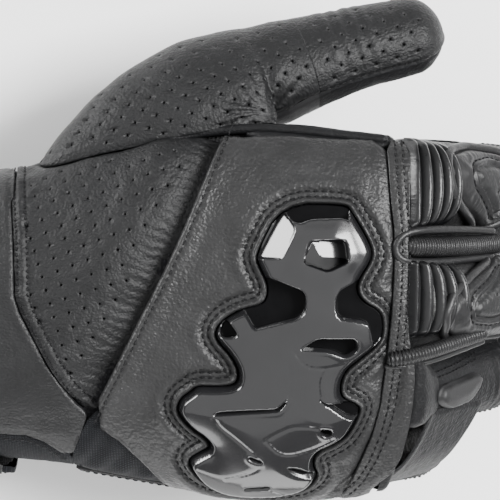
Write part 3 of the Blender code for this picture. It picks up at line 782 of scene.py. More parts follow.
def moulded_material(name, colour, roughness, texture=0.02, size=5.0, **uniform):
    """Moulded plastic or rubber: faint flow marks, uneven gloss and slight handling wear."""
    material, tree, shader = nodes_of(name, roughness, **uniform)
    flat = flat_coordinates(tree)
    cloudy = noise_node(tree, flat, size * 2.5, 3.0)
    fine = noise_node(tree, flat, size * 0.16, 5.0, 0.7)
    handled = shades(tree, cloudy, scaled(colour, 0.80), scaled(colour, 1.25))
    tree.links.new(handled, shader.inputs["Base Color"])
    tree.links.new(spread(tree, cloudy, roughness * 0.8, roughness * 1.25), shader.inputs["Roughness"])
    tree.links.new(bump(tree, fine, texture), shader.inputs["Normal"])
    return material


def thread_material(name, colour):
    """Twisted sewing thread; the colour darkens in the grooves of the twist, as painted shade."""
    material, tree, shader = nodes_of(name, 0.6, Specular_IOR_Level=0.2)
    flat = flat_coordinates(tree)
    twist = add_node(tree, "TexWave", {"Scale": 0.9, "Vector": flat}, bands_direction="DIAGONAL")
    # Darker in the grooves of the twist: painted shade
    strands_with_groove_shade = shades(tree, twist.outputs["Fac"], scaled(colour, 0.6), colour)
    tree.links.new(strands_with_groove_shade, shader.inputs["Base Color"])
    tree.links.new(spread(tree, twist.outputs["Fac"], 0.42, 0.6), shader.inputs["Roughness"])
    tree.links.new(bump(tree, twist.outputs["Fac"], 0.08), shader.inputs["Normal"])
    return material


LEATHER = leather_material("goat_leather", (0.0140, 0.0140, 0.0143), 0.40, depth=0.18)
SMOOTH = leather_material("smooth_leather", (0.0110, 0.0110, 0.0115), 0.40, grain=0.7, depth=0.05)
PERFORATED = leather_material("perforated_leather", (0.0100, 0.0102, 0.0106), 0.44, grain=0.8, depth=0.12)
# A darker copy of the perforated leather for the thumb and the thumb base: painted shade, as these panels
# face the lamps more
SHADED_THUMB_LEATHER = leather_material("thumb_leather_painted_shade", (0.0038, 0.0039, 0.0043), 0.54, grain=0.8, depth=0.16)
CUFF_LEATHER = leather_material("cuff_leather", (0.0062, 0.0063, 0.0067), 0.47, grain=0.8, depth=0.12)
RIB_LEATHER = leather_material("rib_leather", (0.0065, 0.0066, 0.0071), 0.31, grain=0.5, depth=0.04,
                               shine=0.36)
DARK = leather_material("dark_leather", (0.0035, 0.0036, 0.0041), 0.56, grain=0.8, depth=0.14, shine=0.18)
TEXTILE = weave_material("stretch_textile", (0.009, 0.010, 0.0125), 0.85)
LINING = weave_material("lining_knit", (0.014, 0.014, 0.016), 0.95, thread=1.1)
FLEECE = weave_material("loop_tape", (0.016, 0.016, 0.018), 0.95, thread=0.5, depth=0.3)
PLASTIC = moulded_material("guard_plastic", (0.0085, 0.0085, 0.0092), 0.17, 0.003, 9.0,
                           Specular_IOR_Level=0.5, Coat_Weight=0.2, Coat_Roughness=0.05)
# Darker, less glossy plastic for the floors of the guard's recesses and slots: painted shade where the deep
# recesses are dark
RECESS_PAINTED_SHADE = moulded_material("guard_recess_painted_shade", (0.0030, 0.0030, 0.0033), 0.30, 0.01, 3.0,
                          Specular_IOR_Level=0.04)
SLIDER = moulded_material("slider_plastic", (0.020, 0.020, 0.022), 0.34, 0.05, 4.0)
RUBBER = moulded_material("moulded_rubber", (0.010, 0.010, 0.0105), 0.50, 0.06, 3.0, Specular_IOR_Level=0.3)
FOAM = moulded_material("foam", (0.08, 0.08, 0.085), 0.9, 0.4, 2.0)
THREAD = thread_material("sewing_thread", (0.009, 0.009, 0.010))
DARK_THREAD = thread_material("dark_thread", (0.006, 0.006, 0.007))


def place(ob, bodies, nodes=(), fill=None, across=None):
    """Puts a finished piece on its body; a piece given two bodies only has its transform baked into its mesh.
    """
    if isinstance(bodies, str):
        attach(ob, bodies)
    else:
        start, end = world(np.array(across))
        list(bodies)
        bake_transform(ob)
    if nodes:
        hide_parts(*nodes)
    return ob


# ---------------------------------------------------------------- outlines seen from above
def seen(skin, points, us, ws):
    """Flat coordinates of the points of a skin that lie at given (x, y), seen from above."""
    u, w = np.meshgrid(np.linspace(*us, 90), np.linspace(*ws, 90), indexing="ij")
    p, n = skin.base(u, w), skin.normal(u, w)
    hidden = np.where(n[..., 2] > 0.05, 0.0, 1e4)
    target = np.array(points, float)
    cost = (p[..., 0] - target[:, 0, None, None])**2 + (p[..., 1] - target[:, 1, None, None])**2 + hidden
    best = cost.reshape(len(target), -1).argmin(1)
    found = np.stack([u.ravel()[best], w.ravel()[best]], 1)
    step = 0.05
    for _ in range(4):
        here = skin.base(found[:, 0], found[:, 1])[:, :2]
        along = (skin.base(found[:, 0] + step, found[:, 1])[:, :2] - here) / step
        across = (skin.base(found[:, 0], found[:, 1] + step)[:, :2] - here) / step
        miss = target - here
        area = along[:, 0] * across[:, 1] - along[:, 1] * across[:, 0]
        area = np.where(np.abs(area) < 0.05, np.inf, area)
        shift = np.stack([(miss[:, 0] * across[:, 1] - miss[:, 1] * across[:, 0]) / area,
                          (along[:, 0] * miss[:, 1] - along[:, 1] * miss[:, 0]) / area], 1)
        found = found + np.clip(shift, -0.6, 0.6)
    return found


def densify(points, step=2.5):
    """Straight runs of a polygon split into short ones, so that rounding keeps its shape."""
    result = []
    for a, b in zip(points[:-1], points[1:]):
        a, b = np.array(a, float), np.array(b, float)
        count = max(int(np.linalg.norm(b - a) / step), 1)
        result += [tuple(a + (b - a) * k / count) for k in range(count)]
    return result + [tuple(points[-1])]


def back_path(points, closed=True, rounds=2):
    """A line on the back of the hand, given as (x, y) seen from above."""
    return Path([on_back(x, y) for x, y in points], closed, rounds)


def mixed_path(points, closed=True, rounds=1):
    """Points given as (x, y) seen from above, or as (x, angle, "ring")."""
    flat = [on_ring(p[0], p[1]) if len(p) == 3 else on_back(*p) for p in points]
    return Path(flat, closed, rounds)


LATTICE_REACH = 60


def lattice(path, origin, a, b, margin):
    """Punched hole centres on a skewed grid inside an outline."""
    i, j = np.meshgrid(*[np.arange(-LATTICE_REACH, LATTICE_REACH)] * 2)
    u = origin[0] + i * a[0] + j * b[0]
    w = origin[1] + i * a[1] + j * b[1]
    keep = path.depth(u.ravel(), w.ravel()) > margin
    return np.stack([u.ravel()[keep], w.ravel()[keep]], 1)


# ---------------------------------------------------------------- lines of the back of the hand
SIDE_ANGLE = 173.0            # where the back's pieces end on the little finger's side
FOLD = [(-4.6, 33.0), (-7.0, 28.9), (-13.2, 14.5), (-19.5, 0.0), (-30.5, -21.5), (-42.1, -43.9)]
LOWER_SEAM = [(-42.1, -43.9), (-28.9, -54.3), (-21.1, -62.1)]
FRONT = [(23.0, -63.0), (28.6, -57.2), (33.8, -44.2), (35.9, -29.9), (37.6, -12.0), (38.0, 3.9),
         (36.9, 13.0), (35.9, 28.6)]
WRIST = [(-62.9, 21.3), (-62.2, 12.7), (-61.7, 6.5), (-61.3, 0.0), (-61.1, -7.0), (-61.0, -13.6),
         (-55.9, -23.6), (-50.2, -33.3), (-45.8, -39.2), (-42.2, -42.4)]
GUARD = [(8.3, 11.4), (24.7, 11.4), (25.9, 9.8), (31.0, 1.0), (31.0, -2.4), (27.6, -7.4), (27.2, -10.7),
         (29.1, -13.5), (33.6, -15.8), (34.1, -20.5), (33.1, -23.7), (27.8, -28.1), (24.2, -30.9),
         (22.9, -34.8), (23.4, -38.0), (28.0, -39.9), (28.0, -41.9), (25.0, -47.6), (21.8, -49.7),
         (16.9, -51.7), (15.9, -55.1), (17.8, -58.0), (13.0, -62.0), (-4.0, -62.3), (-11.2, -59.8),
         (-15.1, -55.9), (-15.9, -53.6), (-12.7, -51.7), (-9.8, -50.4), (-11.2, -48.1), (-15.3, -45.5),
         (-18.8, -41.3), (-18.0, -38.2), (-15.3, -36.4), (-13.5, -34.9), (-9.4, -35.2), (-3.6, -34.8),
         (-2.5, -31.5), (-4.4, -27.3), (-8.4, -23.1), (-8.9, -20.5), (-6.2, -17.5), (-2.1, -15.3),
         (3.1, -14.2), (4.7, -12.0), (4.7, -8.3), (2.1, -3.1), (1.8, -1.0)]

fold_line = mixed_path(FOLD, closed=False)
lower_line = mixed_path(LOWER_SEAM, closed=False)
front_line = mixed_path(FRONT, closed=False)
wrist_line = mixed_path(WRIST, closed=False)
guard_path = back_path(GUARD)
DORSAL = (FOLD[1:] + LOWER_SEAM[1:] + [(x, SIDE_ANGLE, "ring") for x in (-20.0, 0.0, 24.0)]
          + [(26.0, 160.0, "ring")] + FRONT[1:]
          + [(20.0, 24.0, "ring"), (5.0, 24.0, "ring"), (-4.0, 27.0, "ring")])
dorsal_path = mixed_path(DORSAL, rounds=1)
window_path = guard_path.moved(-0.35)
around_guard = [guard_path.moved(-2.2), guard_path.moved(-3.6)]


def dorsal_height(u, w):
    """Back panel: proud folded edge, rolled lip and sunk double seam around the guard."""
    fold = fold_line.distance(u, w)
    lip = guard_path.distance(u, w)
    front = front_line.distance(u, w)
    lower = lower_line.distance(u, w)
    h = 0.9 + hide(u, w, 11, turn=-62.0) * ramp(np.minimum(lip, front), 1.0, 6.0)
    h += turned(fold, 7.0, 1.0) - turned(fold, 0.7, 0.7) + groove(fold, 1.8, 0.45, 0.35)
    h += ridge(lip, 0.9, 0.75, 1.5) + groove(lip, 2.2, 0.42, 0.55) + groove(lip, 3.6, 0.45, 0.5)
    h += ridge(lip, 5.6, 1.4, 0.5)
    h += ridge(front, 3.0, 2.2, 0.5) - turned(front, 9.0, 1.4) - turned(front, 1.0, 0.6)
    h += -turned(lower, 1.2, 0.6) + groove(lower, 1.6, 0.4, 0.3)
    top = dorsal_path.distance(u, w)
    return h - turned(top, 1.0, 0.5)


dorsal = panel("back_leather", hand_skin, dorsal_path, dorsal_height, LEATHER, spacing=0.62,
               windows=[window_path], features=around_guard)
place(dorsal, "hand", ["dorsal_panel"])
place(stitches("guard_stitches", hand_skin, around_guard, dorsal_height, THREAD), "hand")
place(stitches("fold_stitches", hand_skin, [fold_line.moved(-1.8)], dorsal_height, THREAD), "hand")


# ---------------------------------------------------------------- hard knuckle guard
def guard_polygon(points, rounds=2):
    """A feature of the guard: straight sides with slightly eased corners."""
    return back_path(densify(list(points) + [points[0]], 2.2)[:-1], True, rounds)


HEAD = guard_polygon([(12.0, 7.0), (15.5, 7.6), (23.5, 7.8), (25.2, 5.5), (28.6, -3.5), (27.0, -6.5),
                      (22.1, -10.4), (13.4, -9.9), (8.0, -6.0), (8.6, -2.5)])
DOME_WINDOW = guard_polygon([(15.5, 2.3), (23.7, 2.6), (24.8, 1.6), (25.2, -3.0), (20.0, -5.4), (13.6, -3.2)])
FACET = [(8.1, 10.4), (11.9, 5.2), (8.6, -2.3), (1.4, -2.0)]
RECESSES = [guard_polygon(p) for p in (
    [(8.2, 13.0), (26.0, 13.0), (25.4, 7.0), (24.0, 7.9), (15.5, 7.6), (12.2, 6.2), (9.0, 9.2)],
    [(3.0, -6.6), (5.1, -7.0), (13.6, -10.2), (14.5, -12.0), (14.2, -15.8), (12.0, -17.4), (1.0, -20.2),
     (-2.0, -15.0), (3.0, -13.0)],
    [(22.6, -10.4), (28.5, -7.0), (28.0, -12.0), (34.8, -15.0), (34.8, -21.0), (31.8, -24.4), (30.9, -23.4),
     (30.4, -19.2), (28.9, -18.0), (22.4, -17.2), (21.8, -13.5)],
    [(-6.9, -18.0), (-5.6, -17.9), (-3.4, -20.6), (-3.0, -22.0), (-6.6, -22.6), (-7.9, -21.4)],
    [(22.6, -41.0), (17.6, -37.4), (18.8, -38.6), (20.6, -38.9), (23.6, -38.6), (27.8, -39.0), (29.0, -41.5),
     (25.8, -43.0)],
    [(14.6, -57.0), (11.0, -55.6), (9.3, -54.2), (12.2, -54.6), (15.6, -56.0), (16.6, -57.2)],
)]
SLOTS_IN_GUARD = [guard_polygon(p) for p in (
    [(12.8, -24.9), (17.2, -22.3), (26.8, -22.3), (27.5, -25.2), (24.6, -27.2), (20.0, -25.4)],
    [(-9.6, -41.4), (-8.0, -40.6), (7.0, -39.8), (9.8, -37.2), (8.8, -38.6), (7.4, -40.3), (-6.0, -41.2)],
    [(17.4, -44.9), (20.8, -45.1), (20.9, -46.6), (18.8, -46.8)],
    [(0.2, -51.3), (3.2, -52.5), (2.8, -53.0), (-0.2, -51.9)],
    [(-1.0, -59.0), (5.2, -58.7), (5.2, -59.3), (-1.0, -59.5)],
)]
# A step's line is its upper edge: the plastic falls away sharply below it, then rises again
STEPS = [back_path(p, False) for p in (
    [(11.2, -25.2), (13.5, -28.6), (16.6, -29.9), (23.4, -29.1), (27.0, -27.6)],
    [(4.0, -47.4), (6.6, -45.8), (11.6, -43.6), (21.1, -45.2)],
    [(21.0, -47.6), (16.6, -49.9), (8.3, -51.5), (4.2, -47.6)],
    [(-9.0, -41.6), (-8.0, -44.0), (-3.0, -47.4), (2.2, -51.6), (3.4, -53.0), (1.6, -55.0), (-6.0, -56.6)],
    [(9.8, -37.0), (10.4, -33.0), (9.8, -29.0)],
    [(5.4, -59.5), (9.0, -60.8), (12.5, -62.0)],
    [(18.4, -36.9), (17.9, -33.0), (19.4, -29.9)],
)]
FACET_PATH = guard_polygon(FACET, rounds=1)
GUARD_RISE = 4.1
GUARD_DOME = 1.8              # extra height in the middle, reached DOME_REACH from the edge
DOME_REACH = 13.0
HEAD_RISE = 0.6
FACET_SLOPE = 0.72
FLOOR = 0.9                   # height of a recess's floor
WALL_HALF = 0.14              # half the width of a recess's steep wall


def recess_share(u, w):
    """1 inside a recess or slot, 0 outside, with a steep wall between."""
    share = np.zeros(np.shape(u))
    for hollow in RECESSES + SLOTS_IN_GUARD + [DOME_WINDOW]:
        share = np.maximum(share, ramp(hollow.depth(u, w), -WALL_HALF, WALL_HALF))
    return share


def guard_height(u, w):
    edge = guard_path.distance(u, w)
    h = GUARD_RISE * (0.35 + 0.65 * ramp(edge, -0.2, 1.5))
    h += GUARD_DOME * (1 - (1 - np.clip(edge / DOME_REACH, 0, 1))**2)
    h += HEAD_RISE * ramp(HEAD.depth(u, w), 0.0, 5.0)
    for line in STEPS:
        h -= ridge(line.distance(u, w), 0.0, 0.30, 0.16)
    for slot in SLOTS_IN_GUARD:
        h += ridge(slot.depth(u, w), -0.6, 0.5, 0.12)
    x, y, _ = np.moveaxis(hand_skin.base(u, w), -1, 0)
    facet = 0.8 + FACET_SLOPE * (0.88 * (x - FACET[3][0]) - 0.475 * (y - FACET[3][1]))
    inside = ramp(FACET_PATH.depth(u, w), -0.25, 0.1)
    h = h * (1 - inside) + np.minimum(facet, h) * inside
    share = recess_share(u, w)
    window = ramp(DOME_WINDOW.depth(u, w), -WALL_HALF, WALL_HALF)
    pane = 5.0 - 0.50 * (x - 16.0) - 0.10 * (y - 2.0)
    floor = FLOOR * (1 - window) + np.maximum(pane, FLOOR) * window
    return h * (1 - share) + np.minimum(floor, h) * share


# Floors of the recesses, the slots and the lower part of the dome window's pane, which take the darker recess
# material as painted shade
PANE_PAINTED_SHADE = guard_polygon([(13.4, -3.3), (15.6, 1.9), (16.6, 1.9), (17.9, -1.5), (25.4, -2.1),
                            (25.2, -3.4), (20.0, -5.6)])
painted_shade_floors = [hollow.moved(0.12) for hollow in RECESSES + SLOTS_IN_GUARD + [PANE_PAINTED_SHADE]]


# True over the floors that take the painted shade material
def in_painted_shade(u, w):
    hit = np.zeros(np.shape(u), bool)
    for hollow in painted_shade_floors:
        hit |= hollow.inside(u, w)
    return hit


# The guard's second, darker material paints shade on the recess floors
guard = panel("knuckle_guard_shell", hand_skin, guard_path, guard_height, PLASTIC, spacing=0.42, wall=4.0,
              features=RECESSES + SLOTS_IN_GUARD + [DOME_WINDOW, FACET_PATH] + STEPS,
              second=(RECESS_PAINTED_SHADE, in_painted_shade))
place(guard, "hand", ["knuckle_guard"])
foam = panel("guard_foam_bed", hand_skin, guard_path.moved(0.6), level(-1.4), FOAM, spacing=2.0, wall=2.0)
place(foam, "hand", ["guard_foam"], fill=0.9)


# ---------------------------------------------------------------- thumb base, textile and cuff
THUMB_BASE_TOP = [(-55.0, 12.0, "ring"), (-52.0, 20.0, "ring"), (-44.0, 24.5, "ring"), (-33.0, 24.5, "ring"),
                  (-20.0, 22.5, "ring"), (-8.0, 18.0, "ring"), (-2.0, 18.0, "ring")]
ROUND_THE_END = [(-61.0, 26.0, "ring"), (-61.0, 4.0, "ring"), (-55.0, 4.0, "ring")]
BASE = ([(-2.0, 28.5), (-16.0, 0.0), (-27.0, -22.0), (-38.5, -41.0), (-41.5, -42.5)]
        + [(x + 0.2, y) for x, y in WRIST[:0:-1]] + ROUND_THE_END + THUMB_BASE_TOP)
base_path = mixed_path(BASE)
top_seam = mixed_path(THUMB_BASE_TOP, closed=False)


def base_height(u, w):
    """Thumb base: swells like a pillow, sinks beside the folded edge, gathers at the wrist."""
    fold = fold_line.distance(u, w)
    wrist = wrist_line.distance(u, w)
    top = top_seam.distance(u, w)
    h = 0.2 + 1.25 * hide(u, w, 31, turn=-68.0)
    h -= ridge(fold, 0.0, 5.5, 2.7)
    h += ridge(fold, 15.0, 6.0, 1.2)
    along = fold_line.run(u, w)
    h += 0.17 * np.sin(along * 2.6 + 2.0 * noise(u, w, 4.0, 36)) * ridge(fold, 4.0, 5.0)
    h += ridge(wrist, 2.3, 1.1, 0.45) - turned(wrist, 0.7, 0.35)
    h += groove(wrist, 0.9, 0.35, 0.3) + groove(wrist, 3.6, 0.4, 0.35)
    pleat = np.sin(w / 1.1 + 2.2 * noise(u, w, 7.0, 35))
    h += 0.14 * pleat * ridge(wrist, 4.0, 4.0)
    return h - turned(top, 1.4, 0.7)


base_holes = lattice(base_path, on_back(-34.0, 0.0), (3.95, -0.96), (1.04, 4.3), 3.2)
base_holes = base_holes[fold_line.distance(base_holes[:, 0], base_holes[:, 1]) > 7.5]
# The thumb base takes the darker thumb leather: painted shade
thumb_base = panel("thumb_base_leather", hand_skin, base_path, base_height, SHADED_THUMB_LEATHER, spacing=0.75,
                   holes=base_holes)
place(thumb_base, "hand", ["thumb_base_panel"])
wrist_rows = [wrist_line.moved(-0.9), wrist_line.moved(-3.6)]
place(stitches("wrist_stitches", hand_skin, wrist_rows, base_height, DARK_THREAD, pitch=1.9), "hand")

TRIANGLE = [(-38.5, -41.0), (-27.0, -52.0), (-18.5, -62.5), (-18.0, SIDE_ANGLE, "ring"),
            (-46.0, SIDE_ANGLE, "ring"), (-47.2, -55.0), (-43.4, -45.4)]
triangle_path = mixed_path(TRIANGLE)


def textile_height(u, w):
    edge = triangle_path.distance(u, w)
    return -0.5 + 0.3 * noise(u, w, 6.0, 51) + 0.3 * np.sin(u * 0.9 + w * 0.5) * ramp(edge, 0, 4)


textile = panel("back_textile", hand_skin, triangle_path, textile_height, TEXTILE, spacing=0.9)
place(textile, "hand", ["dorsal_textile"])

CUFF = ([(CUFF_END, 4.0, "ring"), (-76.0, 4.0, "ring"), (-62.5, 4.0, "ring"), (-61.5, 24.0, "ring"),
         (-61.5, 40.0, "ring")] + WRIST[1:] + [(-43.0, -45.0), (-47.1, -54.6), (-55.9, -48.2), (-66.0, -47.8),
                                               (-80.0, -47.8), (CUFF_END, -47.8)])
cuff_path = mixed_path(CUFF)
cuff_lower = mixed_path([(CUFF_END, -47.8), (-66.0, -47.8), (-55.9, -48.2), (-47.1, -54.6)], closed=False)


def cuff_height(u, w):
    wrist = wrist_line.distance(u, w)
    lower = cuff_lower.distance(u, w)
    h = 0.5 + 0.9 * hide(u, w, 61, turn=80.0)
    h += ridge(wrist, 1.2, 1.2, 0.25) - turned(wrist, 0.5, 0.3)
    rear = u - CUFF_END
    h += -turned(rear, 1.2, 0.5) + groove(rear, 5.0, 0.45, 0.35)
    return h - turned(lower, 1.0, 0.5) + groove(lower, 1.6, 0.4, 0.3)


cuff = panel("cuff_back_leather", hand_skin, cuff_path, cuff_height, CUFF_LEATHER, spacing=0.8)
place(cuff, "hand", ["cuff_back"])
cuff_rows = [cuff_lower.moved(1.6)]
cuff_rows.append(mixed_path([(CUFF_END + 5.0, a, "ring") for a in range(10, 150, 10)], closed=False))
place(stitches("cuff_stitches", hand_skin, cuff_rows, cuff_height, THREAD), "hand")

SIDE = [(CUFF_END, -47.0), (-66.0, -47.0), (-55.9, -47.2), (-46.5, -53.6), (-46.5, 173.5, "ring"),
        (CUFF_END, 173.5, "ring")]
side_path = mixed_path(SIDE)


def side_height(u, w):
    edge = side_path.distance(u, w)
    return -0.35 + 0.35 * noise(u, w, 8.0, 71) - turned(edge, 1.2, 0.3)


side = panel("cuff_side_textile", hand_skin, side_path, side_height, TEXTILE, spacing=1.0)
place(side, "hand")

# ---------------------------------------------------------------- palm, sides and lining
def ring_path(points, rounds=1):
    """An outline given as (x, angle) round the hand."""
    return Path([on_ring(x, angle) for x, angle in densify(points, 14.0)], True, rounds)


def palm_front(angle):
    """Front edge of the palm leather: further back towards the little finger."""
    return float(np.interp(angle, (176.0, 214.0, 240.0, 270.0, 324.0), (20.0, 14.0, 20.0, 30.0, 27.0)))


def sewn_panel(name, path, nodes, material, lift=0.0, seed=1, turn=0.0, amount=1.0, holes=(),
               thread=DARK_THREAD, wall=1.2):
    """A plain panel with a turned edge and a row of stitches inside it."""
    seam = 1.9

    def height(u, w):
        edge = path.distance(u, w)
        worn = amount * hide(u, w, seed, turn) * ramp(edge, 0.5, 4.0)
        return lift + worn - turned(edge, 1.2, 0.6) + groove(edge, seam, 0.4, 0.3)

    place(panel(name, hand_skin, path, height, material, spacing=1.1, holes=holes, wall=wall), "hand", nodes)
    if thread:
        place(stitches(name + "_stitches", hand_skin, [path.moved(seam)], height, thread), "hand")


PALM = ([(-60.0, 216.0), (-60.0, 322.0), (27.0, 322.0)]
        + [(palm_front(a), float(a)) for a in (300, 270, 240, 216)] + [(-10.0, 216.0), (-60.0, 216.0)])
palm_path = ring_path(PALM)
sewn_panel("palm_leather", palm_path, ["palm_panel"], SMOOTH, seed=101, amount=1.3, turn=80.0)
patch_path = ring_path([(-8.0, 234.0), (-8.0, 304.0), (22.0, 304.0), (25.0, 270.0), (15.0, 240.0),
                        (8.0, 234.0), (-8.0, 234.0)], rounds=2)
patch_holes = lattice(patch_path, on_ring(8.0, 270.0), (4.2, 0.0), (2.1, 4.2), 4.0)
sewn_panel("palm_patch", patch_path, ["palm_reinforcement"], PERFORATED, lift=1.5, seed=111,
           holes=patch_holes, thread=THREAD, wall=1.4)
ulnar_path = ring_path([(-46.0, 175.0), (20.0, 175.0), (15.0, 195.0), (13.0, 213.0), (-46.0, 213.0),
                        (-46.0, 175.0)])
sewn_panel("outer_side_leather", ulnar_path, ["ulnar_side_panel"], DARK, lift=0.3, seed=121)
index_path = ring_path([(6.0, -36.0), (27.0, -36.0), (37.0, -10.0), (38.0, 22.5), (-2.0, 24.5), (1.0, 0.0),
                        (6.0, -36.0)])
sewn_panel("index_side_leather", index_path, ["index_side_panel"], DARK, lift=0.1, seed=131, thread=None)
cuff_palm_path = ring_path([(CUFF_END, 174.0), (-60.8, 174.0), (-60.8, 250.0), (-60.8, 320.0), (-61.6, 363.0),
                            (CUFF_END, 363.0), (CUFF_END, 174.0)])
sewn_panel("cuff_palm_leather", cuff_palm_path, ["cuff_palm"], SMOOTH, lift=0.1, seed=141, turn=80.0)

SHIRR_PITCH = 2.4


def shirred(share_a, share_b):
    """Elastic let into the wrist of the palm: gathered into ribs along the glove."""
    x = -56.0 + 9.5 * share_a
    angle = 228.0 + 84.0 * share_b
    w = np.interp(angle, ring_angles, ring_arc)
    ends = np.minimum(share_b, 1 - share_b)
    rib = 0.75 * np.abs(np.sin(math.pi * w / SHIRR_PITCH + 0.5 * np.sin(x)))**0.8
    side = np.minimum(share_a, 1 - share_a)
    lift = 0.3 + (0.9 + rib) * ramp(side, 0.0, 0.16) * ramp(ends, 0.0, 0.03)
    return hand_skin.at(x, w, lift)


place(sheet("wrist_shirring", shirred, 26, 300, TEXTILE, (9.5, 74)), "hand", ["wrist_elastic"])


def slider_plate():
    """Hard slider on the heel of the palm: a domed plate with a chamfer and drainage grooves."""
    centre, length, width = (-27.0, -24.0), 34.0, 24.0
    top_share = 0.86              # share of the rows that the top takes; the rest is its wall

    def shape(share_a, share_b):
        turn = 2 * math.pi * share_b
        reach = np.minimum(share_a / top_share, 1.0)
        c, s = rounded(np.degrees(turn), 4.0)
        x, y = c * length / 2 * reach, s * width / 2 * reach
        over = np.clip((share_a - top_share) / 0.14, 0, 1)
        drop = 2.9 - 2.0 * over - 0.5 * ramp(reach, 0.86, 1.0)
        lines = np.minimum(np.abs(y - 4.0), np.abs(y + 4.0))
        drop -= ridge(lines, 0.0, 0.55, 0.5) * ramp(12.0 - np.abs(x), 0.0, 1.5)
        z = -33.4 + 0.10 * x - drop
        return np.stack([centre[0] + x, centre[1] + y, z], -1)

    return sheet("palm_slider_plate", lambda a, b: shape(a, 1 - b), 56, 160, SLIDER, (17, 90), wrap=True)


place(slider_plate(), "hand", ["palm_slider"])

CUFF_TAPE_WIDTH = 4.5         # length of each leg of the tape
CUFF_TAPE_BEND = 2.1          # radius of the fold round the cuff's edge


def cuff_roll(share_a, share_b):
    """Bound edge of the cuff: a tape folded round the mouth, with a leg outside and a leg inside."""
    bend_length = math.pi * CUFF_TAPE_BEND
    run = share_a * (2 * CUFF_TAPE_WIDTH + bend_length)
    turn = np.clip((run - CUFF_TAPE_WIDTH) / bend_length, 0, 1) * math.pi
    leg = np.maximum(CUFF_TAPE_WIDTH - run, 0) + np.maximum(run - CUFF_TAPE_WIDTH - bend_length, 0)
    x = CUFF_END - 1.0 + leg - CUFF_TAPE_BEND * np.sin(turn)
    w = np.interp(360.0 * share_b, ring_angles, ring_arc)
    tuck = 0.5 * ramp(leg, CUFF_TAPE_WIDTH - 0.9, CUFF_TAPE_WIDTH)
    lift = -0.3 + (CUFF_TAPE_BEND - tuck) * np.cos(turn)
    return hand_skin.at(x, w, lift)


place(sheet("cuff_edge_tape", lambda a, b: cuff_roll(1 - a, 1 - b), 26, 260, TEXTILE,
            (12, 200), wrap=True), "hand", ["cuff_binding"])
cuff_tape_row = mixed_path([(CUFF_END + 2.4, a, "ring") for a in range(0, 361, 10)], closed=False)
place(stitches("cuff_tape_stitches", hand_skin, [cuff_tape_row], level(CUFF_TAPE_BEND - 0.3), THREAD), "hand")


def lining_tube(share_a, share_b):
    x = CUFF_END + 1.0 + 122.0 * share_a
    angle = 360.0 * share_b
    w = np.interp(angle, ring_angles, ring_arc)
    depth = -2.2 - 0.5 * ramp(share_a, 0.0, 0.2) + 0.3 * noise(x, w, 7.0, 151)
    return hand_skin.at(x, w, depth)


place(sheet("hand_lining_knit", lining_tube, 90, 150, LINING, (122, 200), wrap=True), "hand", ["hand_lining"])


# ---------------------------------------------------------------- fingers
SEAM = 163.0                  # angle of a finger's side seams
BALL = 9.5                    # how far a finger's skin runs back behind its knuckle


def around(angle, radius=FINGER_RADIUS):
    return math.radians(angle - 90.0) * radius


def finger_relief(finger, seed):
    """Relief of a finger: crease ribs over the joints, wrinkles, and a fuller back."""
    joint = finger.bones[0]
    far_joint = joint + finger.bones[1]

    def height(u, w):
        back = ridge(w, 0.0, 13.0)
        h = 0.25 + hide(u, w, seed, turn=90.0) * (1 - 0.8 * ramp(u, finger.length - 12.0, finger.length))
        for place_u, reach, size in ((joint, 8.5, 0.75), (far_joint, 5.0, 0.35)):
            near = np.exp(-((u - place_u) / reach)**4)
            h += size * back * near * (np.abs(np.sin(math.pi * (u - place_u) / 2.9 + 0.02 * w * w / 4)) - 0.4)
        side = np.abs(np.abs(w) - around(SEAM))
        return h - ridge(side, 0.0, 0.55, 0.75) + ridge(side, 1.6, 0.8, 0.25)

    return height


def skin_sheet(name, skin, us, ws, height, material, rows, columns):
    def spot(share_a, share_b):
        u = us[0] + (us[1] - us[0]) * share_a
        w = ws[0] + (ws[1] - ws[0]) * share_b
        return u, w

    def surface(share_a, share_b):
        u, w = spot(share_a, share_b)
        return skin.at(u, w, height(u, w))

    return sheet(name, surface, rows, columns, material, spot=spot)


KNUCKLE_SPAN = (-6.0, 8.0)    # where the bend over a knuckle starts and ends
JOINT_SPAN = 9.0              # half the length of the bend over the next joint


def spans(finger, start, end):
    """Two places on a finger's centre line, handed to place() as a piece's span across a joint."""
    return [finger.frame(np.array(float(s)))[0] for s in (start, end)]


def over_knuckle(name):
    """The two bodies and the span over a finger's knuckle that place() gets for a piece."""
    return dict(bodies=("hand", name), across=spans(fingers[name], *KNUCKLE_SPAN))


def finger_skins_of(name, finger, seed):
    skin = finger_skins[name]
    joint = float(finger.bones[0])
    split = 0.55 * joint
    height = finger_relief(finger, seed)
    side = around(SEAM)
    under = around(450.0 - SEAM + 90.0)
    knuckle = over_knuckle(name)
    middle = dict(bodies=(name, name + "_tip"), across=spans(finger, joint - JOINT_SPAN, joint + JOINT_SPAN))
    reach = finger.reach - 0.02
    top = DARK if name in ("ring", "little") else LEATHER
    near, far = (-BALL + 0.5, split), (split, reach)
    back, palm = (-side, side), (side, under)
    for label, us, ws, material, rows, columns, joint_of, nodes in (
            ("_back_near", near, back, top, 46, 60, knuckle, ["_back"]),
            ("_palm_near", near, palm, SMOOTH, 40, 50, knuckle, ["_palm"]),
            ("_back_far", far, back, top, 110, 60, middle, ["_tip_back", "_crease"]),
            ("_palm_far", far, palm, SMOOTH, 90, 50, middle, ["_tip_palm"])):
        piece = skin_sheet(name + label, skin, us, ws, height, material, rows, columns)
        place(piece, nodes=[name + node for node in nodes], **joint_of)
    row_us = (split + 1.0, joint, finger.length - 8.0)
    rows = [Path([(u, w) for u in row_us], False, 1) for w in (side - 1.6, 1.6 - side)]
    place(stitches(name + "_side_stitches", skin, rows, height, DARK_THREAD, radius=FINE_THREAD, lift=-0.08),
          **middle)
    return height


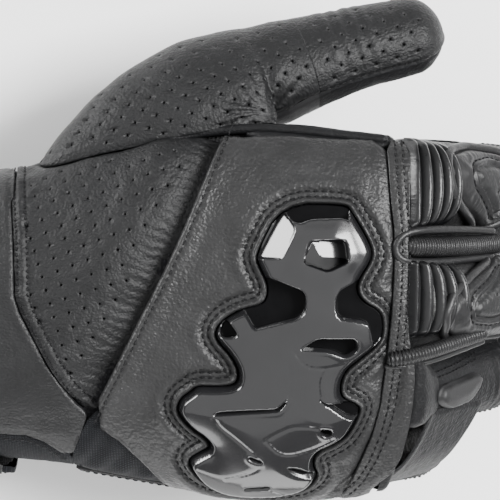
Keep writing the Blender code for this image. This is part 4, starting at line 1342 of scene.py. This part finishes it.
finger_heights = {}
for number, (name, finger) in enumerate(fingers.items()):
    finger_heights[name] = finger_skins_of(name, finger, 200 + 10 * number)


def finger_path(name, visible, hidden, rounds=2):
    """An outline on a finger: first points seen from above as (x, y), then flat (u, angle)."""
    finger = fingers[name]
    flat = seen(finger_skins[name], visible, (-6.0, finger.bones[0] + 4.0), (around(0.0), around(180.0)))
    corners = [tuple(p) for p in flat] + [(u, around(a)) for u, a in hidden]
    return Path(densify(corners + corners[:1], 3.0)[:-1], True, rounds)


def finger_pad(name, path, leaf, holes, seed, fill):
    """Padded leather panel on the back of a finger, piped round its edge, with a sunk leaf insert."""
    skin = finger_skins[name]

    def height(u, w):
        edge = path.distance(u, w)
        inner = leaf.depth(u, w)
        h = 0.5 + 1.7 * ramp(edge, 0.0, 2.6) + 0.8 * ramp(edge, 1.5, 7.0)
        h += 0.3 * hide(u, w, seed, turn=40.0) * ramp(edge, 1.0, 4.0)
        gathers = np.sin(leaf.run(u, w) * 5.2 + 1.5 * noise(u, w, 2.5, seed + 5))
        h += 0.10 * gathers * ridge(inner, -3.4, 1.6) * ramp(edge, 0.3, 1.2)
        h += groove(inner, -1.5, 0.42, 0.6) + ridge(inner, -0.6, 0.4, 0.35)
        h += groove(inner, -0.05, 0.3, 0.9)
        return h - 0.5 * ramp(inner, -0.1, 0.3) + 0.7 * ramp(inner, 0.2, 1.6)

    knuckle = over_knuckle(name)
    pad = panel(name + "_pad_leather", skin, path, height, SMOOTH, spacing=0.5, holes=holes, hole_radius=0.4,
                wall=2.0, features=[leaf], second=(PERFORATED, lambda u, w: leaf.inside(u, w)))
    place(pad, nodes=[name + "_pad"], fill=fill, **knuckle)
    place(stitches(name + "_pad_stitches", skin, [leaf.moved(-1.5)], height, THREAD, pitch=1.9), **knuckle)
    line = path.walk(0.7)
    bead = skin.at(line[:, 0], line[:, 1], np.full(len(line), 1.1))
    place(tube(name + "_pad_piping", bead, 1.3, SMOOTH, sides=12, closed=True), **knuckle)


index_pad = finger_path("index", [(51.6, 25.4), (50.6, 22.6), (51.3, 17.4), (53.6, 12.6), (57.5, 8.6)],
                        [(19.0, 158.0), (26.0, 150.0), (33.0, 120.0), (35.0, 95.0), (33.0, 60.0),
                         (25.0, 46.0), (14.0, 42.0)])
index_leaf = finger_path("index", [(57.8, 20.8), (57.6, 18.8), (59.6, 16.2), (62.4, 12.4)],
                         [(22.0, 128.0), (27.0, 112.0), (29.0, 92.0), (26.0, 76.0), (20.0, 70.0)])
finger_pad("index", index_pad, index_leaf,
           lattice(index_leaf, (16.5, 1.0), (4.6, 0.6), (0.6, -4.2), 1.7), 301, 0.75)
middle_pad = finger_path("middle", [(62.0, -4.0), (57.0, -7.2), (51.8, -11.8), (50.0, -16.0), (49.6, -21.0)],
                         [(8.0, 168.0), (18.0, 168.0), (27.0, 158.0), (34.0, 125.0), (36.0, 95.0),
                          (33.0, 60.0), (26.0, 30.0), (20.0, 24.0)])
middle_leaf = finger_path("middle", [(62.0, -9.6), (57.0, -13.8), (57.0, -16.8), (62.0, -17.2)],
                          [(24.0, 112.0), (28.0, 95.0), (27.0, 75.0), (22.0, 60.0)])
finger_pad("middle", middle_pad, middle_leaf,
           lattice(middle_leaf, (17.0, 0.0), (4.6, 0.6), (0.6, -4.2), 1.7), 311, 0.75)

ring_pad = finger_path("ring", [(48.6, -38.4), (49.6, -35.8), (59.2, -32.5), (61.3, -33.7), (60.6, -36.4),
                                (57.0, -40.2), (52.0, -41.7), (49.2, -40.6)], [], rounds=2)


def ring_pad_height(u, w):
    edge = ring_pad.distance(u, w)
    return 0.8 + 1.5 * ramp(edge, 0.0, 1.3) + 0.4 * ramp(edge, 1.3, 3.5)


moulded_pad = panel("ring_moulded_pad", finger_skins["ring"], ring_pad, ring_pad_height, RUBBER, spacing=0.5,
                    wall=2.0)
place(moulded_pad, nodes=["ring_pad"], **over_knuckle("ring"))


def ring_row(k):
    """The k-th row of stitches above the moulded pad: one run of the flat loop that finger_path makes."""
    visible = [(45.6 + 0.35 * k, -33.2 - 1.5 * k), (53.5, -30.6 - 1.5 * k), (60.6, -27.6 - 1.5 * k)]
    loop = finger_path("ring", visible, []).points
    return Path(loop[:len(loop) // 2], False, 0)


ring_rows = [ring_row(k) for k in range(2)]
place(stitches("ring_pad_stitches", finger_skins["ring"], ring_rows, finger_heights["ring"], DARK_THREAD,
               pitch=1.5), **over_knuckle("ring"))


# ---------------------------------------------------------------- knuckle strip, accordions, gussets
def back_edge(x, y):
    """Point of the back of the hand at (x, y)."""
    u, w = on_back(x, y)
    return hand_skin.at(np.array(u), np.array(w), 0.6)


STRIP_FRONT = [(41.6, 27.0), (41.2, 13.0), (41.0, 0.0), (40.6, -14.0), (41.2, -24.0), (43.0, -30.0),
               (42.0, -44.0), (38.6, -57.0)]
strip_path = mixed_path([(23.0, 172.0, "ring"), (25.0, 160.0, "ring")] + [(x - 0.6, y) for x, y in FRONT[1:]]
                        + STRIP_FRONT + [(32.0, 160.0, "ring"), (31.0, 172.0, "ring")])


def strip_height(u, w):
    front = front_line.distance(u, w)
    edge = strip_path.distance(u, w)
    h = 0.35 + 0.6 * hide(u, w, 401, turn=90.0) + ridge(edge, 2.0, 1.4, 0.5)
    return h + groove(front, 1.5, 0.4, 0.4) + groove(front, 3.4, 0.4, 0.4)


strip = panel("knuckle_strip", hand_skin, strip_path, strip_height, LEATHER, spacing=0.7)
place(strip, "hand")
strip_rows = [front_line.moved(1.5), front_line.moved(3.4)]
place(stitches("knuckle_strip_stitches", hand_skin, strip_rows, strip_height, THREAD, pitch=1.9), "hand")

ACCORDIONS = {
    # name: x of the rear edge at the thumb side and the far side, ribs, their height, bow of the front one
    "index": (41.0, 41.0, 5, 2.6, 2.5),
    "middle": (40.6, 40.4, 5, 2.5, 2.5),
    "ring": (43.0, 41.6, 1, 1.3, 0.0),
    "little": (40.0, 34.0, 1, 1.0, 0.0),
}
RIB_END = 6.0                 # place on each finger of the front edge


def accordion(name):
    """Ribbed stretch leather from the knuckle strip to the back of a finger."""
    finger = fingers[name]
    x_thumb_side, x_far_side, ribs, rise, bow = ACCORDIONS[name]
    columns, rows = 60, 110
    angles = np.linspace(12.0, 168.0, columns)
    turn = (angles - angles[0]) / (angles[-1] - angles[0])
    finger_edge = finger(RIB_END + bow * np.sin(math.pi * turn), angles)
    y = finger_edge[:, 1]
    share = (y - y[-1]) / (y[0] - y[-1])
    rear = [back_edge(x, v) for x, v in zip(x_far_side + (x_thumb_side - x_far_side) * share, y)]
    rear = np.array(rear) - np.array([1.0, 0, 0.9])
    fine = np.linspace(0, 1, 60)[:, None, None]
    lead = rear + np.array([5.0, 0, -0.4])
    trail = finger_edge - 5.5 * finger.way
    curve = bezier(rear, lead, trail, finger_edge, fine)
    steps = np.linalg.norm(np.diff(curve, axis=0), axis=2)
    run = np.vstack([np.zeros(columns), np.cumsum(steps, axis=0)])
    run /= run[-1]
    out = np.array([0.55, 0, 0.83])

    def surface(share_a, share_b):
        j = np.rint(share_b * (columns - 1)).astype(int)
        at = np.clip(share_a, 0, 1)
        p = np.array([[np.interp(a, run[:, c], curve[:, c, axis]) for axis in range(3)]
                      for a, c in zip(at, j)])
        wave = np.abs(np.sin(math.pi * ribs * at))**0.7
        fade = ramp(np.minimum(turn[j], 1 - turn[j]), 0.0, 0.16)
        ends = ramp(np.minimum(at, 1.3 - at), 0.0, 0.12)
        wobble = 0.10 * noise(share_a * 14, share_b * 22, 2.0, 410 + ribs)
        return p + out * ((0.3 + rise * wave * ends) * (0.2 + 0.8 * fade) + wobble)[:, None]

    material = RIB_LEATHER if ribs > 1 else DARK
    ob = sheet(name + "_ribs", surface, rows, columns, material, (16, 24))
    end = finger.frame(np.array(8.0))[0] + finger.frame(np.array(8.0))[2] * 8.0
    place(ob, ("hand", name), [name + "_accordion"], across=[rear.mean(0), end])


for name in fingers:
    accordion(name)


def roll_line(points, lift, step=0.35):
    """A smooth line through hand-frame points."""
    p = np.array(points, float)
    for _ in range(3):
        a, b = 0.75 * p[:-1] + 0.25 * p[1:], 0.25 * p[:-1] + 0.75 * p[1:]
        p = np.vstack([p[:1], np.stack([a, b], 1).reshape(-1, 3)[1:-1], p[-1:]])
    run = distances(p)
    at = np.arange(0, run[-1], step)
    line = np.stack([np.interp(at, run, p[:, k]) for k in range(3)], 1)
    line[:, 2] += lift
    return line


def pleats(pitch, depth):
    return lambda run, turn: depth * (np.abs(np.sin(math.pi * run / pitch))**0.7 - 0.6)


HAIRPIN = [(64.5, 5.0, -10.6), (57.2, 5.4, -2.6), (50.5, 5.4, 4.4), (44.5, 5.2, 9.8), (40.3, 4.4, 12.2),
           (38.2, 2.6, 12.9), (37.4, 0.6, 12.9), (38.0, -1.6, 12.7), (40.3, -2.9, 11.9), (44.5, -3.2, 8.6),
           (51.0, -3.0, 2.8), (58.5, -2.2, -5.2), (64.5, -1.6, -12.0)]
place(tube("index_middle_piping", roll_line(HAIRPIN, 0.2), 1.05, SMOOTH, sides=14), **over_knuckle("middle"))
ROLL_MIDDLE = [(40.0, 0.9, 11.6), (44.5, 0.9, 8.4), (51.0, 0.9, 2.6), (58.5, 1.2, -5.0), (66.0, 1.8, -13.5)]
place(tube("index_middle_roll", roll_line(ROLL_MIDDLE, 0.5, 0.1), 2.5, SMOOTH, sides=26,
           relief=pleats(0.85, 0.5)),
      nodes=["index_middle_gusset"], fill=0.5, **over_knuckle("middle"))
ROLL_RING = [(35.4, -28.4, 10.0), (37.5, -28.2, 10.4), (41.0, -27.6, 9.8), (46.0, -26.4, 6.6),
             (53.0, -24.3, 0.2), (62.0, -21.6, -8.6)]
place(tube("middle_ring_roll", roll_line(ROLL_RING, 0.6, 0.1), 1.9, SMOOTH, sides=20,
           relief=pleats(0.95, 0.5)),
      nodes=["middle_ring_gusset"], fill=0.5, **over_knuckle("ring"))
PIPE_RING = [(34.6, -30.0, 9.4), (38.5, -30.3, 9.2), (43.0, -29.9, 7.4), (50.0, -28.2, 1.6),
             (62.0, -24.0, -9.6)]
place(tube("middle_ring_piping", roll_line(PIPE_RING, 0.0), 0.7, SMOOTH, sides=12), **over_knuckle("ring"))


def finger_web(share_a, share_b):
    """Knit that closes the front of the hand behind the fingers."""
    y = 25.5 - 86.0 * share_b
    front = np.interp(y, (-60.0, -44.0, -28.0, 25.0), (32.0, 38.0, 39.0, 39.0))
    upper = np.array([back_edge(x, v) for x, v in zip(front, y)]) - np.array([0, 0, 1.6])
    angle = np.interp(y, (-60.0, -20.0, 26.0), (216.0, 268.0, 318.0))
    rear = np.array([palm_front(a) for a in angle])
    lower = hand(rear - 2.0, angle) + np.array([0, 0, 1.2])
    t = share_a[:, None]
    knee = (upper + lower) / 2 + np.array([17.0, 0, 6.0])
    return (1 - t)**2 * upper + 2 * t * (1 - t) * knee + t * t * lower


place(sheet("finger_web_knit", finger_web, 24, 90, DARK, (40, 86)), "hand")


def fourchette(first, second):
    """Side walls between two fingers: a valley that runs out to the web and turns down to the palm."""
    inset, behind, turn_down = 1.6, 12.0, 10.0
    out = 26.0 if second == "little" else 39.0
    one, two = fingers[first], fingers[second]

    def surface(share_a, share_b):
        run = share_a * (out + behind + turn_down)
        s = np.minimum(run, out + behind) - behind
        fall = np.maximum(run - out - behind, 0)
        edges = []
        for finger, sign in ((one, -1), (two, 1)):
            centre, _, back = finger.frame(s)
            width = smooth(finger.width_table, s)[..., 0] - inset - 0.02 * s
            level = 6.6 - 0.08 * s - fall - 0.25 * np.maximum(-s, 0)
            edges.append(centre + sign * width[:, None] * finger.side + level[:, None] * back)
        b = share_b[:, None]
        sag = 4 * share_b * (1 - share_b) * 2.2
        down = (one.back + two.back) / 2
        forward = (one.way + two.way) / 2
        p = edges[0] * (1 - b) + edges[1] * b - sag[:, None] * down
        return p - (sag * 1.2 * ramp(fall, 0, 6))[:, None] * forward

    ob = sheet(first + "_" + second + "_fourchette", surface, 60, 24, DARK, (40, 8))
    place(ob, **over_knuckle(second))


for pair in (("index", "middle"), ("middle", "ring"), ("ring", "little")):
    fourchette(*pair)


def finger_bridge(share_a, share_b):
    """Leather that joins the backs of the ring and little fingers and ends in a rolled front edge."""
    one, two = fingers["ring"], fingers["little"]
    hollow = 1 - 0.12 * np.sin(math.pi * share_b)
    s_one, s_two = 1.0 + 27.0 * share_a * hollow, -3.0 + 30.0 * share_a * hollow
    leave_at, land_at, step = 116.0, 152.0, 4.0
    start, end = one(s_one, leave_at), two(s_two, land_at)
    leave = one(s_one, leave_at + step) - start
    arrive = end - two(s_two, land_at - step)
    leave /= np.linalg.norm(leave, axis=1, keepdims=True)
    arrive /= np.linalg.norm(arrive, axis=1, keepdims=True)
    span = np.linalg.norm(end - start, axis=1, keepdims=True)
    t = share_b[:, None]
    p = bezier(start, start + 0.42 * span * leave, end - 0.5 * span * arrive, end, t)
    up = (one.back + two.back) / 2
    edge = np.minimum(share_b, 1 - share_b)
    lift = 0.4 + 0.8 * hide(share_a * 28, share_b * 26, 431, turn=60.0) + 0.9 * ramp(edge, 0.0, 0.05)
    lift += ridge(share_a, 0.04, 0.05, 0.5)
    roll = ramp(share_a, 0.9, 1.0)
    forward = (one.way + two.way) / 2
    return p + up * (lift - 3.5 * roll**2)[:, None] + forward * (1.2 * roll * (1 - roll))[:, None]


place(sheet("ring_little_bridge", finger_bridge, 70, 70, DARK, (28, 26)), **over_knuckle("little"))


# ---------------------------------------------------------------- thumb
def thumb_flat(u, angle):
    return u, around(angle, THUMB_RADIUS)


def thumb_path(points, rounds=2):
    return Path([thumb_flat(u, a) for u, a in densify(points, 12.0)], True, rounds)


thumb_joint = thumb_tube.bones[0]
thumb_knuckle = dict(bodies=("hand", "thumb"), across=spans(thumb_tube, -6.0, 7.0))
thumb_middle = dict(bodies=("thumb", "thumb_tip"),
                    across=spans(thumb_tube, thumb_joint - 7.0, thumb_joint + 7.0))
THUMB_SPLIT = 9.0             # where the near pieces end and the far ones begin
ROOT_REAR = -35.6             # where the near pieces start, behind the thumb's base


def thumb_height(u, w):
    """Relief of the thumb: swollen root, creases at the joint."""
    x, y, _ = np.moveaxis(thumb_skin.base(u, w), -1, 0)
    h = 0.3 + hide(x, y, 501, turn=60.0) * (1 - 0.8 * ramp(u, thumb_tube.length - 12.0, thumb_tube.length))
    back = ridge(w, 0.0, 16.0)
    near = np.exp(-((u - thumb_joint) / 7.0)**4)
    h += 0.5 * back * near * (np.abs(np.sin(math.pi * (u - thumb_joint) / 3.4)) - 0.4)
    fold = ridge(u, -2.0, 6.0)
    return h + 0.20 * fold * np.sin(u / 1.7 + 0.12 * w)


LOW_SEAM = ((ROOT_REAR, 178.0), (ROOT_FRONT, 176.0), (THUMB_SPLIT, 170.0))   # flat length, angle
HIGH_SEAM = ((ROOT_REAR, 8.0), (ROOT_FRONT, 8.0), (THUMB_SPLIT, 8.0))
LOW_FAR, HIGH_FAR = LOW_SEAM[-1][1], HIGH_SEAM[-1][1]
root_back = thumb_path([*HIGH_SEAM, *reversed(LOW_SEAM), HIGH_SEAM[0]], rounds=1)
tip_end = thumb_tube.reach - 0.6
tip_back = thumb_path([(THUMB_SPLIT, HIGH_FAR), (tip_end, HIGH_FAR), (tip_end, LOW_FAR),
                       (THUMB_SPLIT, LOW_FAR), (THUMB_SPLIT, HIGH_FAR)], rounds=0)
seam_low = Path([thumb_flat(u, a) for u, a in (*LOW_SEAM, (thumb_tube.reach, LOW_FAR))], False, 1)
seam_high = Path([thumb_flat(u, a) for u, a in (*HIGH_SEAM, (thumb_tube.reach, HIGH_FAR))], False, 1)
CROTCH = (4.0, 36.0)          # where the thumb parts from the hand, seen from above


def thumb_back_height(u, w):
    edge = np.minimum(seam_low.distance(u, w), seam_high.distance(u, w))
    welt = seam_low.distance(u, w)
    h = thumb_height(u, w) - turned(edge, 1.1, 0.7)
    h += ridge(welt, 2.0, 1.2, 0.3)
    x, y, _ = np.moveaxis(thumb_skin.base(u, w), -1, 0)
    from_crotch = np.hypot(x - CROTCH[0], y - CROTCH[1])
    spokes = np.sin(16.0 * np.arctan2(y - CROTCH[1], x - CROTCH[0]) + 2.5 * noise(x, y, 5.0, 505))
    h += 0.22 * spokes * ridge(from_crotch, 7.0, 6.0)
    return h - 0.5 * (1 - ramp(u - ROOT_REAR, 0.0, 1.4))


across_thumb, along_thumb = np.meshgrid(np.arange(-9, 10), np.arange(-14, 16))
THUMB_GRID = np.array([[5.6, 1.9], [-1.7, 4.7]])      # from above: one step along, one across
lattice_xy = np.stack([along_thumb.ravel(), across_thumb.ravel()], 1) @ THUMB_GRID
lattice_xy = np.vstack([lattice_xy, lattice_xy + THUMB_GRID.sum(0) / 2]) + (0.0, 46.0)
lattice_xy = lattice_xy[(np.abs(lattice_xy[:, 0]) < 56) & (lattice_xy[:, 1] > 18) & (lattice_xy[:, 1] < 70)]
thumb_holes = seen(thumb_skin, lattice_xy, (-35.0, thumb_tube.length),
                   (around(12.0, THUMB_RADIUS), around(176.0, THUMB_RADIUS)))
off_by = np.linalg.norm(thumb_skin.base(thumb_holes[:, 0], thumb_holes[:, 1])[:, :2] - lattice_xy, axis=1)
upright = thumb_skin.normal(thumb_holes[:, 0], thumb_holes[:, 1])[:, 2] > 0.42
thumb_holes = thumb_holes[(off_by < 0.3) & upright]


def from_above(points):
    return np.stack([points[:, 0], points[:, 1] - 0.6 * points[:, 2]], 1)


# The thumb's back pieces take the darker thumb leather: painted shade
for label, path, nodes, joint, chart in (
        ("thumb_back_near", root_back, ["thumb_root_back", "thumb_base_crease"], thumb_knuckle, from_above),
        ("thumb_back_far", tip_back, ["thumb_back", "thumb_tip_back", "thumb_crease"], thumb_middle, None)):
    u, w = thumb_holes.T
    clear = (path.depth(u, w) > 1.6) & (seam_low.distance(u, w) > 3.0) & (u < thumb_tube.length - 8.0)
    ob = panel(label, thumb_skin, path, thumb_back_height, SHADED_THUMB_LEATHER, spacing=0.72,
               holes=thumb_holes[clear], chart=chart)
    place(ob, nodes=nodes, **joint)


UNDER_WIDTH = 36.0            # flat width of the thumb's under side
TEXTILE_WIDTH = 9.0           # and of the textile along its inner side


def thumb_under(name, us, rows, material, joint, nodes):
    """Under side of the thumb, from one side seam round the palm side to the other."""
    def spot(a, b):
        u = us[0] + (us[1] - us[0]) * a
        low = np.interp(u, *zip(*LOW_SEAM))
        high = np.interp(u, (ROOT_REAR, ROOT_FRONT, THUMB_SPLIT), (344.0, 350.0, 368.0))
        angle = low + (high - low) * b
        return u, around(1.0, THUMB_RADIUS) + np.radians(angle - 1.0) * THUMB_RADIUS

    def surface(a, b):
        u, w = spot(a, b)
        edge = np.minimum(b, 1 - b) * UNDER_WIDTH
        h = 0.1 + 0.8 * hide(u, w, 521, turn=80.0) - turned(edge, 1.2, 0.7)
        return thumb_skin.at(u, w, h)

    ob = sheet(name, surface, rows, 90, material, spot=spot)
    place(ob, nodes=nodes, **joint)


thumb_under("thumb_palm_near", (ROOT_REAR, THUMB_SPLIT), 64, SMOOTH, thumb_knuckle, ["thumb_root_palm"])
thumb_under("thumb_palm_far", (THUMB_SPLIT, thumb_tube.reach - 0.05), 76, DARK, thumb_middle,
            ["thumb_palm", "thumb_tip_palm"])


def side_textile(share_a, share_b):
    u = ROOT_REAR + 37.0 * share_a
    high = np.interp(u, *zip(*HIGH_SEAM)) + 1.0
    low = np.interp(u, (ROOT_REAR, -20.0, ROOT_FRONT), (-17.0, -14.0, -11.0))
    w = np.radians(low + (high - low) * share_b - 90.0) * THUMB_RADIUS
    edge = np.minimum(share_b, 1 - share_b) * TEXTILE_WIDTH
    return thumb_skin.at(u, w, -0.3 + 0.5 * ramp(edge, 0.0, 1.5))


place(sheet("thumb_side_textile", side_textile, 60, 22, TEXTILE, (37, TEXTILE_WIDTH)),
      nodes=["thumb_root_textile"], **thumb_knuckle)
row_us = (THUMB_SPLIT + 0.5, thumb_tube.length - 10.0)
seam_row = Path([thumb_flat(u, LOW_FAR - 7.0) for u in row_us], False, 0)
place(stitches("thumb_seam_stitches", thumb_skin, [seam_row], thumb_back_height, DARK_THREAD,
               radius=FINE_THREAD), **thumb_middle)

WELT = [(-28.4, 24.2), (-21.2, 28.5), (-15.3, 30.4), (-6.6, 31.4), (2.1, 31.8), (10.9, 31.3),
        (22.6, 30.0), (36.0, 28.6)]
welt = np.array([hand(x, back_angle(np.array(x), y)) for x, y in WELT])
place(tube("thumb_side_welt", roll_line(welt, 0.1), 1.3, DARK, sides=14), "hand")


# ---------------------------------------------------------------- wrist strap
STRAP_X = (-84.0, -62.0)
STRAP_HINGE_ANGLE = 250.0
STRAP_END_ANGLE = 168.0


def strap_piece(name, inset, angles, lift, material, node, body, spacing=1.0, wall=1.2, relief=None):
    """One layer of the strap: a rectangle with eased corners, narrower by an inset at each side."""
    rear, front = STRAP_X[0] + inset, STRAP_X[1] - inset
    path = ring_path([(rear, angles[0]), (front, angles[0]), (front, angles[1]), (rear, angles[1]),
                      (rear, angles[0])], rounds=2)

    def height(u, w):
        edge = path.distance(u, w)
        return lift - turned(edge, 1.0, 0.3) + (relief(u, w, edge) if relief else 0)

    place(panel(name, hand_skin, path, height, material, spacing=spacing, wall=wall), body, [node])
    return path, height


def webbing(u, w, edge):
    return groove(edge, 2.4, 0.5, 0.25) + 0.10 * np.sin(u * 3.2)


def grip_ribs(u, w, edge):
    return 0.5 * ramp(edge, 0.8, 1.4) * (np.sin(w * 2.6) > 0)


strap_piece("strap_loop_tape", 1, (176.0, 222.0), 1.4, FLEECE, "strap_loop_patch", "hand", wall=1.4)
strap_piece("strap_hook_tape", 2, (178.0, 218.0), 2.35, FLEECE, "strap_hook_patch", "strap", wall=0.7)
webbing_angles = (STRAP_END_ANGLE + 6, STRAP_HINGE_ANGLE - 3)
strap_path, strap_height = strap_piece("wrist_strap_webbing", 0, webbing_angles, 4.0, TEXTILE,
                                       "wrist_strap", "strap", spacing=0.8, wall=1.5, relief=webbing)
place(stitches("strap_stitches", hand_skin, [strap_path.moved(2.4)], strap_height, THREAD), "strap")
tab_angles = (STRAP_END_ANGLE - 1.5, STRAP_END_ANGLE + 10.0)
strap_piece("strap_pull_tab", 3, tab_angles, 4.7, RUBBER, "strap_tab", "strap", spacing=0.6, wall=2.2,
            relief=grip_ribs)


# ---------------------------------------------------------------- floor, camera and lights
FLOOR_LEVEL = -0.0015         # metres; just under the lowest point of the glove


def studio():
    """Pale floor and an even white world light; the lamps come from light()."""
    floor_mesh = bpy.data.meshes.new("floor")
    reach = 3.0
    floor_mesh.from_pydata([(-reach, -reach, 0), (reach, -reach, 0), (reach, reach, 0), (-reach, reach, 0)],
                           [], [(0, 1, 2, 3)])
    floor = bpy.data.objects.new("floor", floor_mesh)
    floor.location.z = FLOOR_LEVEL
    bpy.context.scene.collection.objects.link(floor)
    material, _, shader = nodes_of("pale_floor", 0.9, Specular_IOR_Level=0.1)
    shader.inputs["Base Color"].default_value = (0.93, 0.93, 0.93, 1)
    floor_mesh.materials.append(material)
    world_node = bpy.data.worlds.new("studio")
    world_node.use_nodes = True
    background = world_node.node_tree.nodes["Background"]
    background.inputs["Color"].default_value = (1.0, 1.0, 1.0, 1)
    background.inputs["Strength"].default_value = 0.42
    bpy.context.scene.world = world_node


def light(name, position, size, power):
    """A rectangular soft light at a place in hand millimetres, aimed at the middle of the hand."""
    data = bpy.data.lights.new(name, "AREA")
    data.shape = "RECTANGLE"
    data.size, data.size_y = size
    data.energy = power
    ob = bpy.data.objects.new(name, data)
    place_at, aim = world(np.array(position, float)), world(np.zeros(3))
    ob.location = place_at
    ob.rotation_euler = Vector(place_at - aim).to_track_quat("Z", "Y").to_euler()
    bpy.context.scene.collection.objects.link(ob)


def camera():
    """Long lens straight above the back of the hand; the picture is 130 mm wide there."""
    data = bpy.data.cameras.new("camera")
    distance, width = 900.0, 130.0
    data.sensor_width = 36.0
    data.lens = data.sensor_width * (distance - 5.0) / width
    ob = bpy.data.objects.new("camera", data)
    ob.location = world(np.array([0.0, 0.0, distance]))
    ob.rotation_euler = Matrix.Rotation(-REST_TILT, 3, "Y").to_euler()
    bpy.context.scene.collection.objects.link(ob)
    bpy.context.scene.camera = ob


studio()
camera()
light("overhead_softbox", (0.0, 0.0, 1500.0), (2.6, 2.6), 26.0)
light("finger_side_light", (660.0, 160.0, 640.0), (0.35, 0.5), 26.0)
light("low_side_light", (-60.0, -900.0, 230.0), (0.9, 0.4), 9.0)
light("left_strip", (-500.0, 270.0, 190.0), (0.22, 0.22), 5.0)
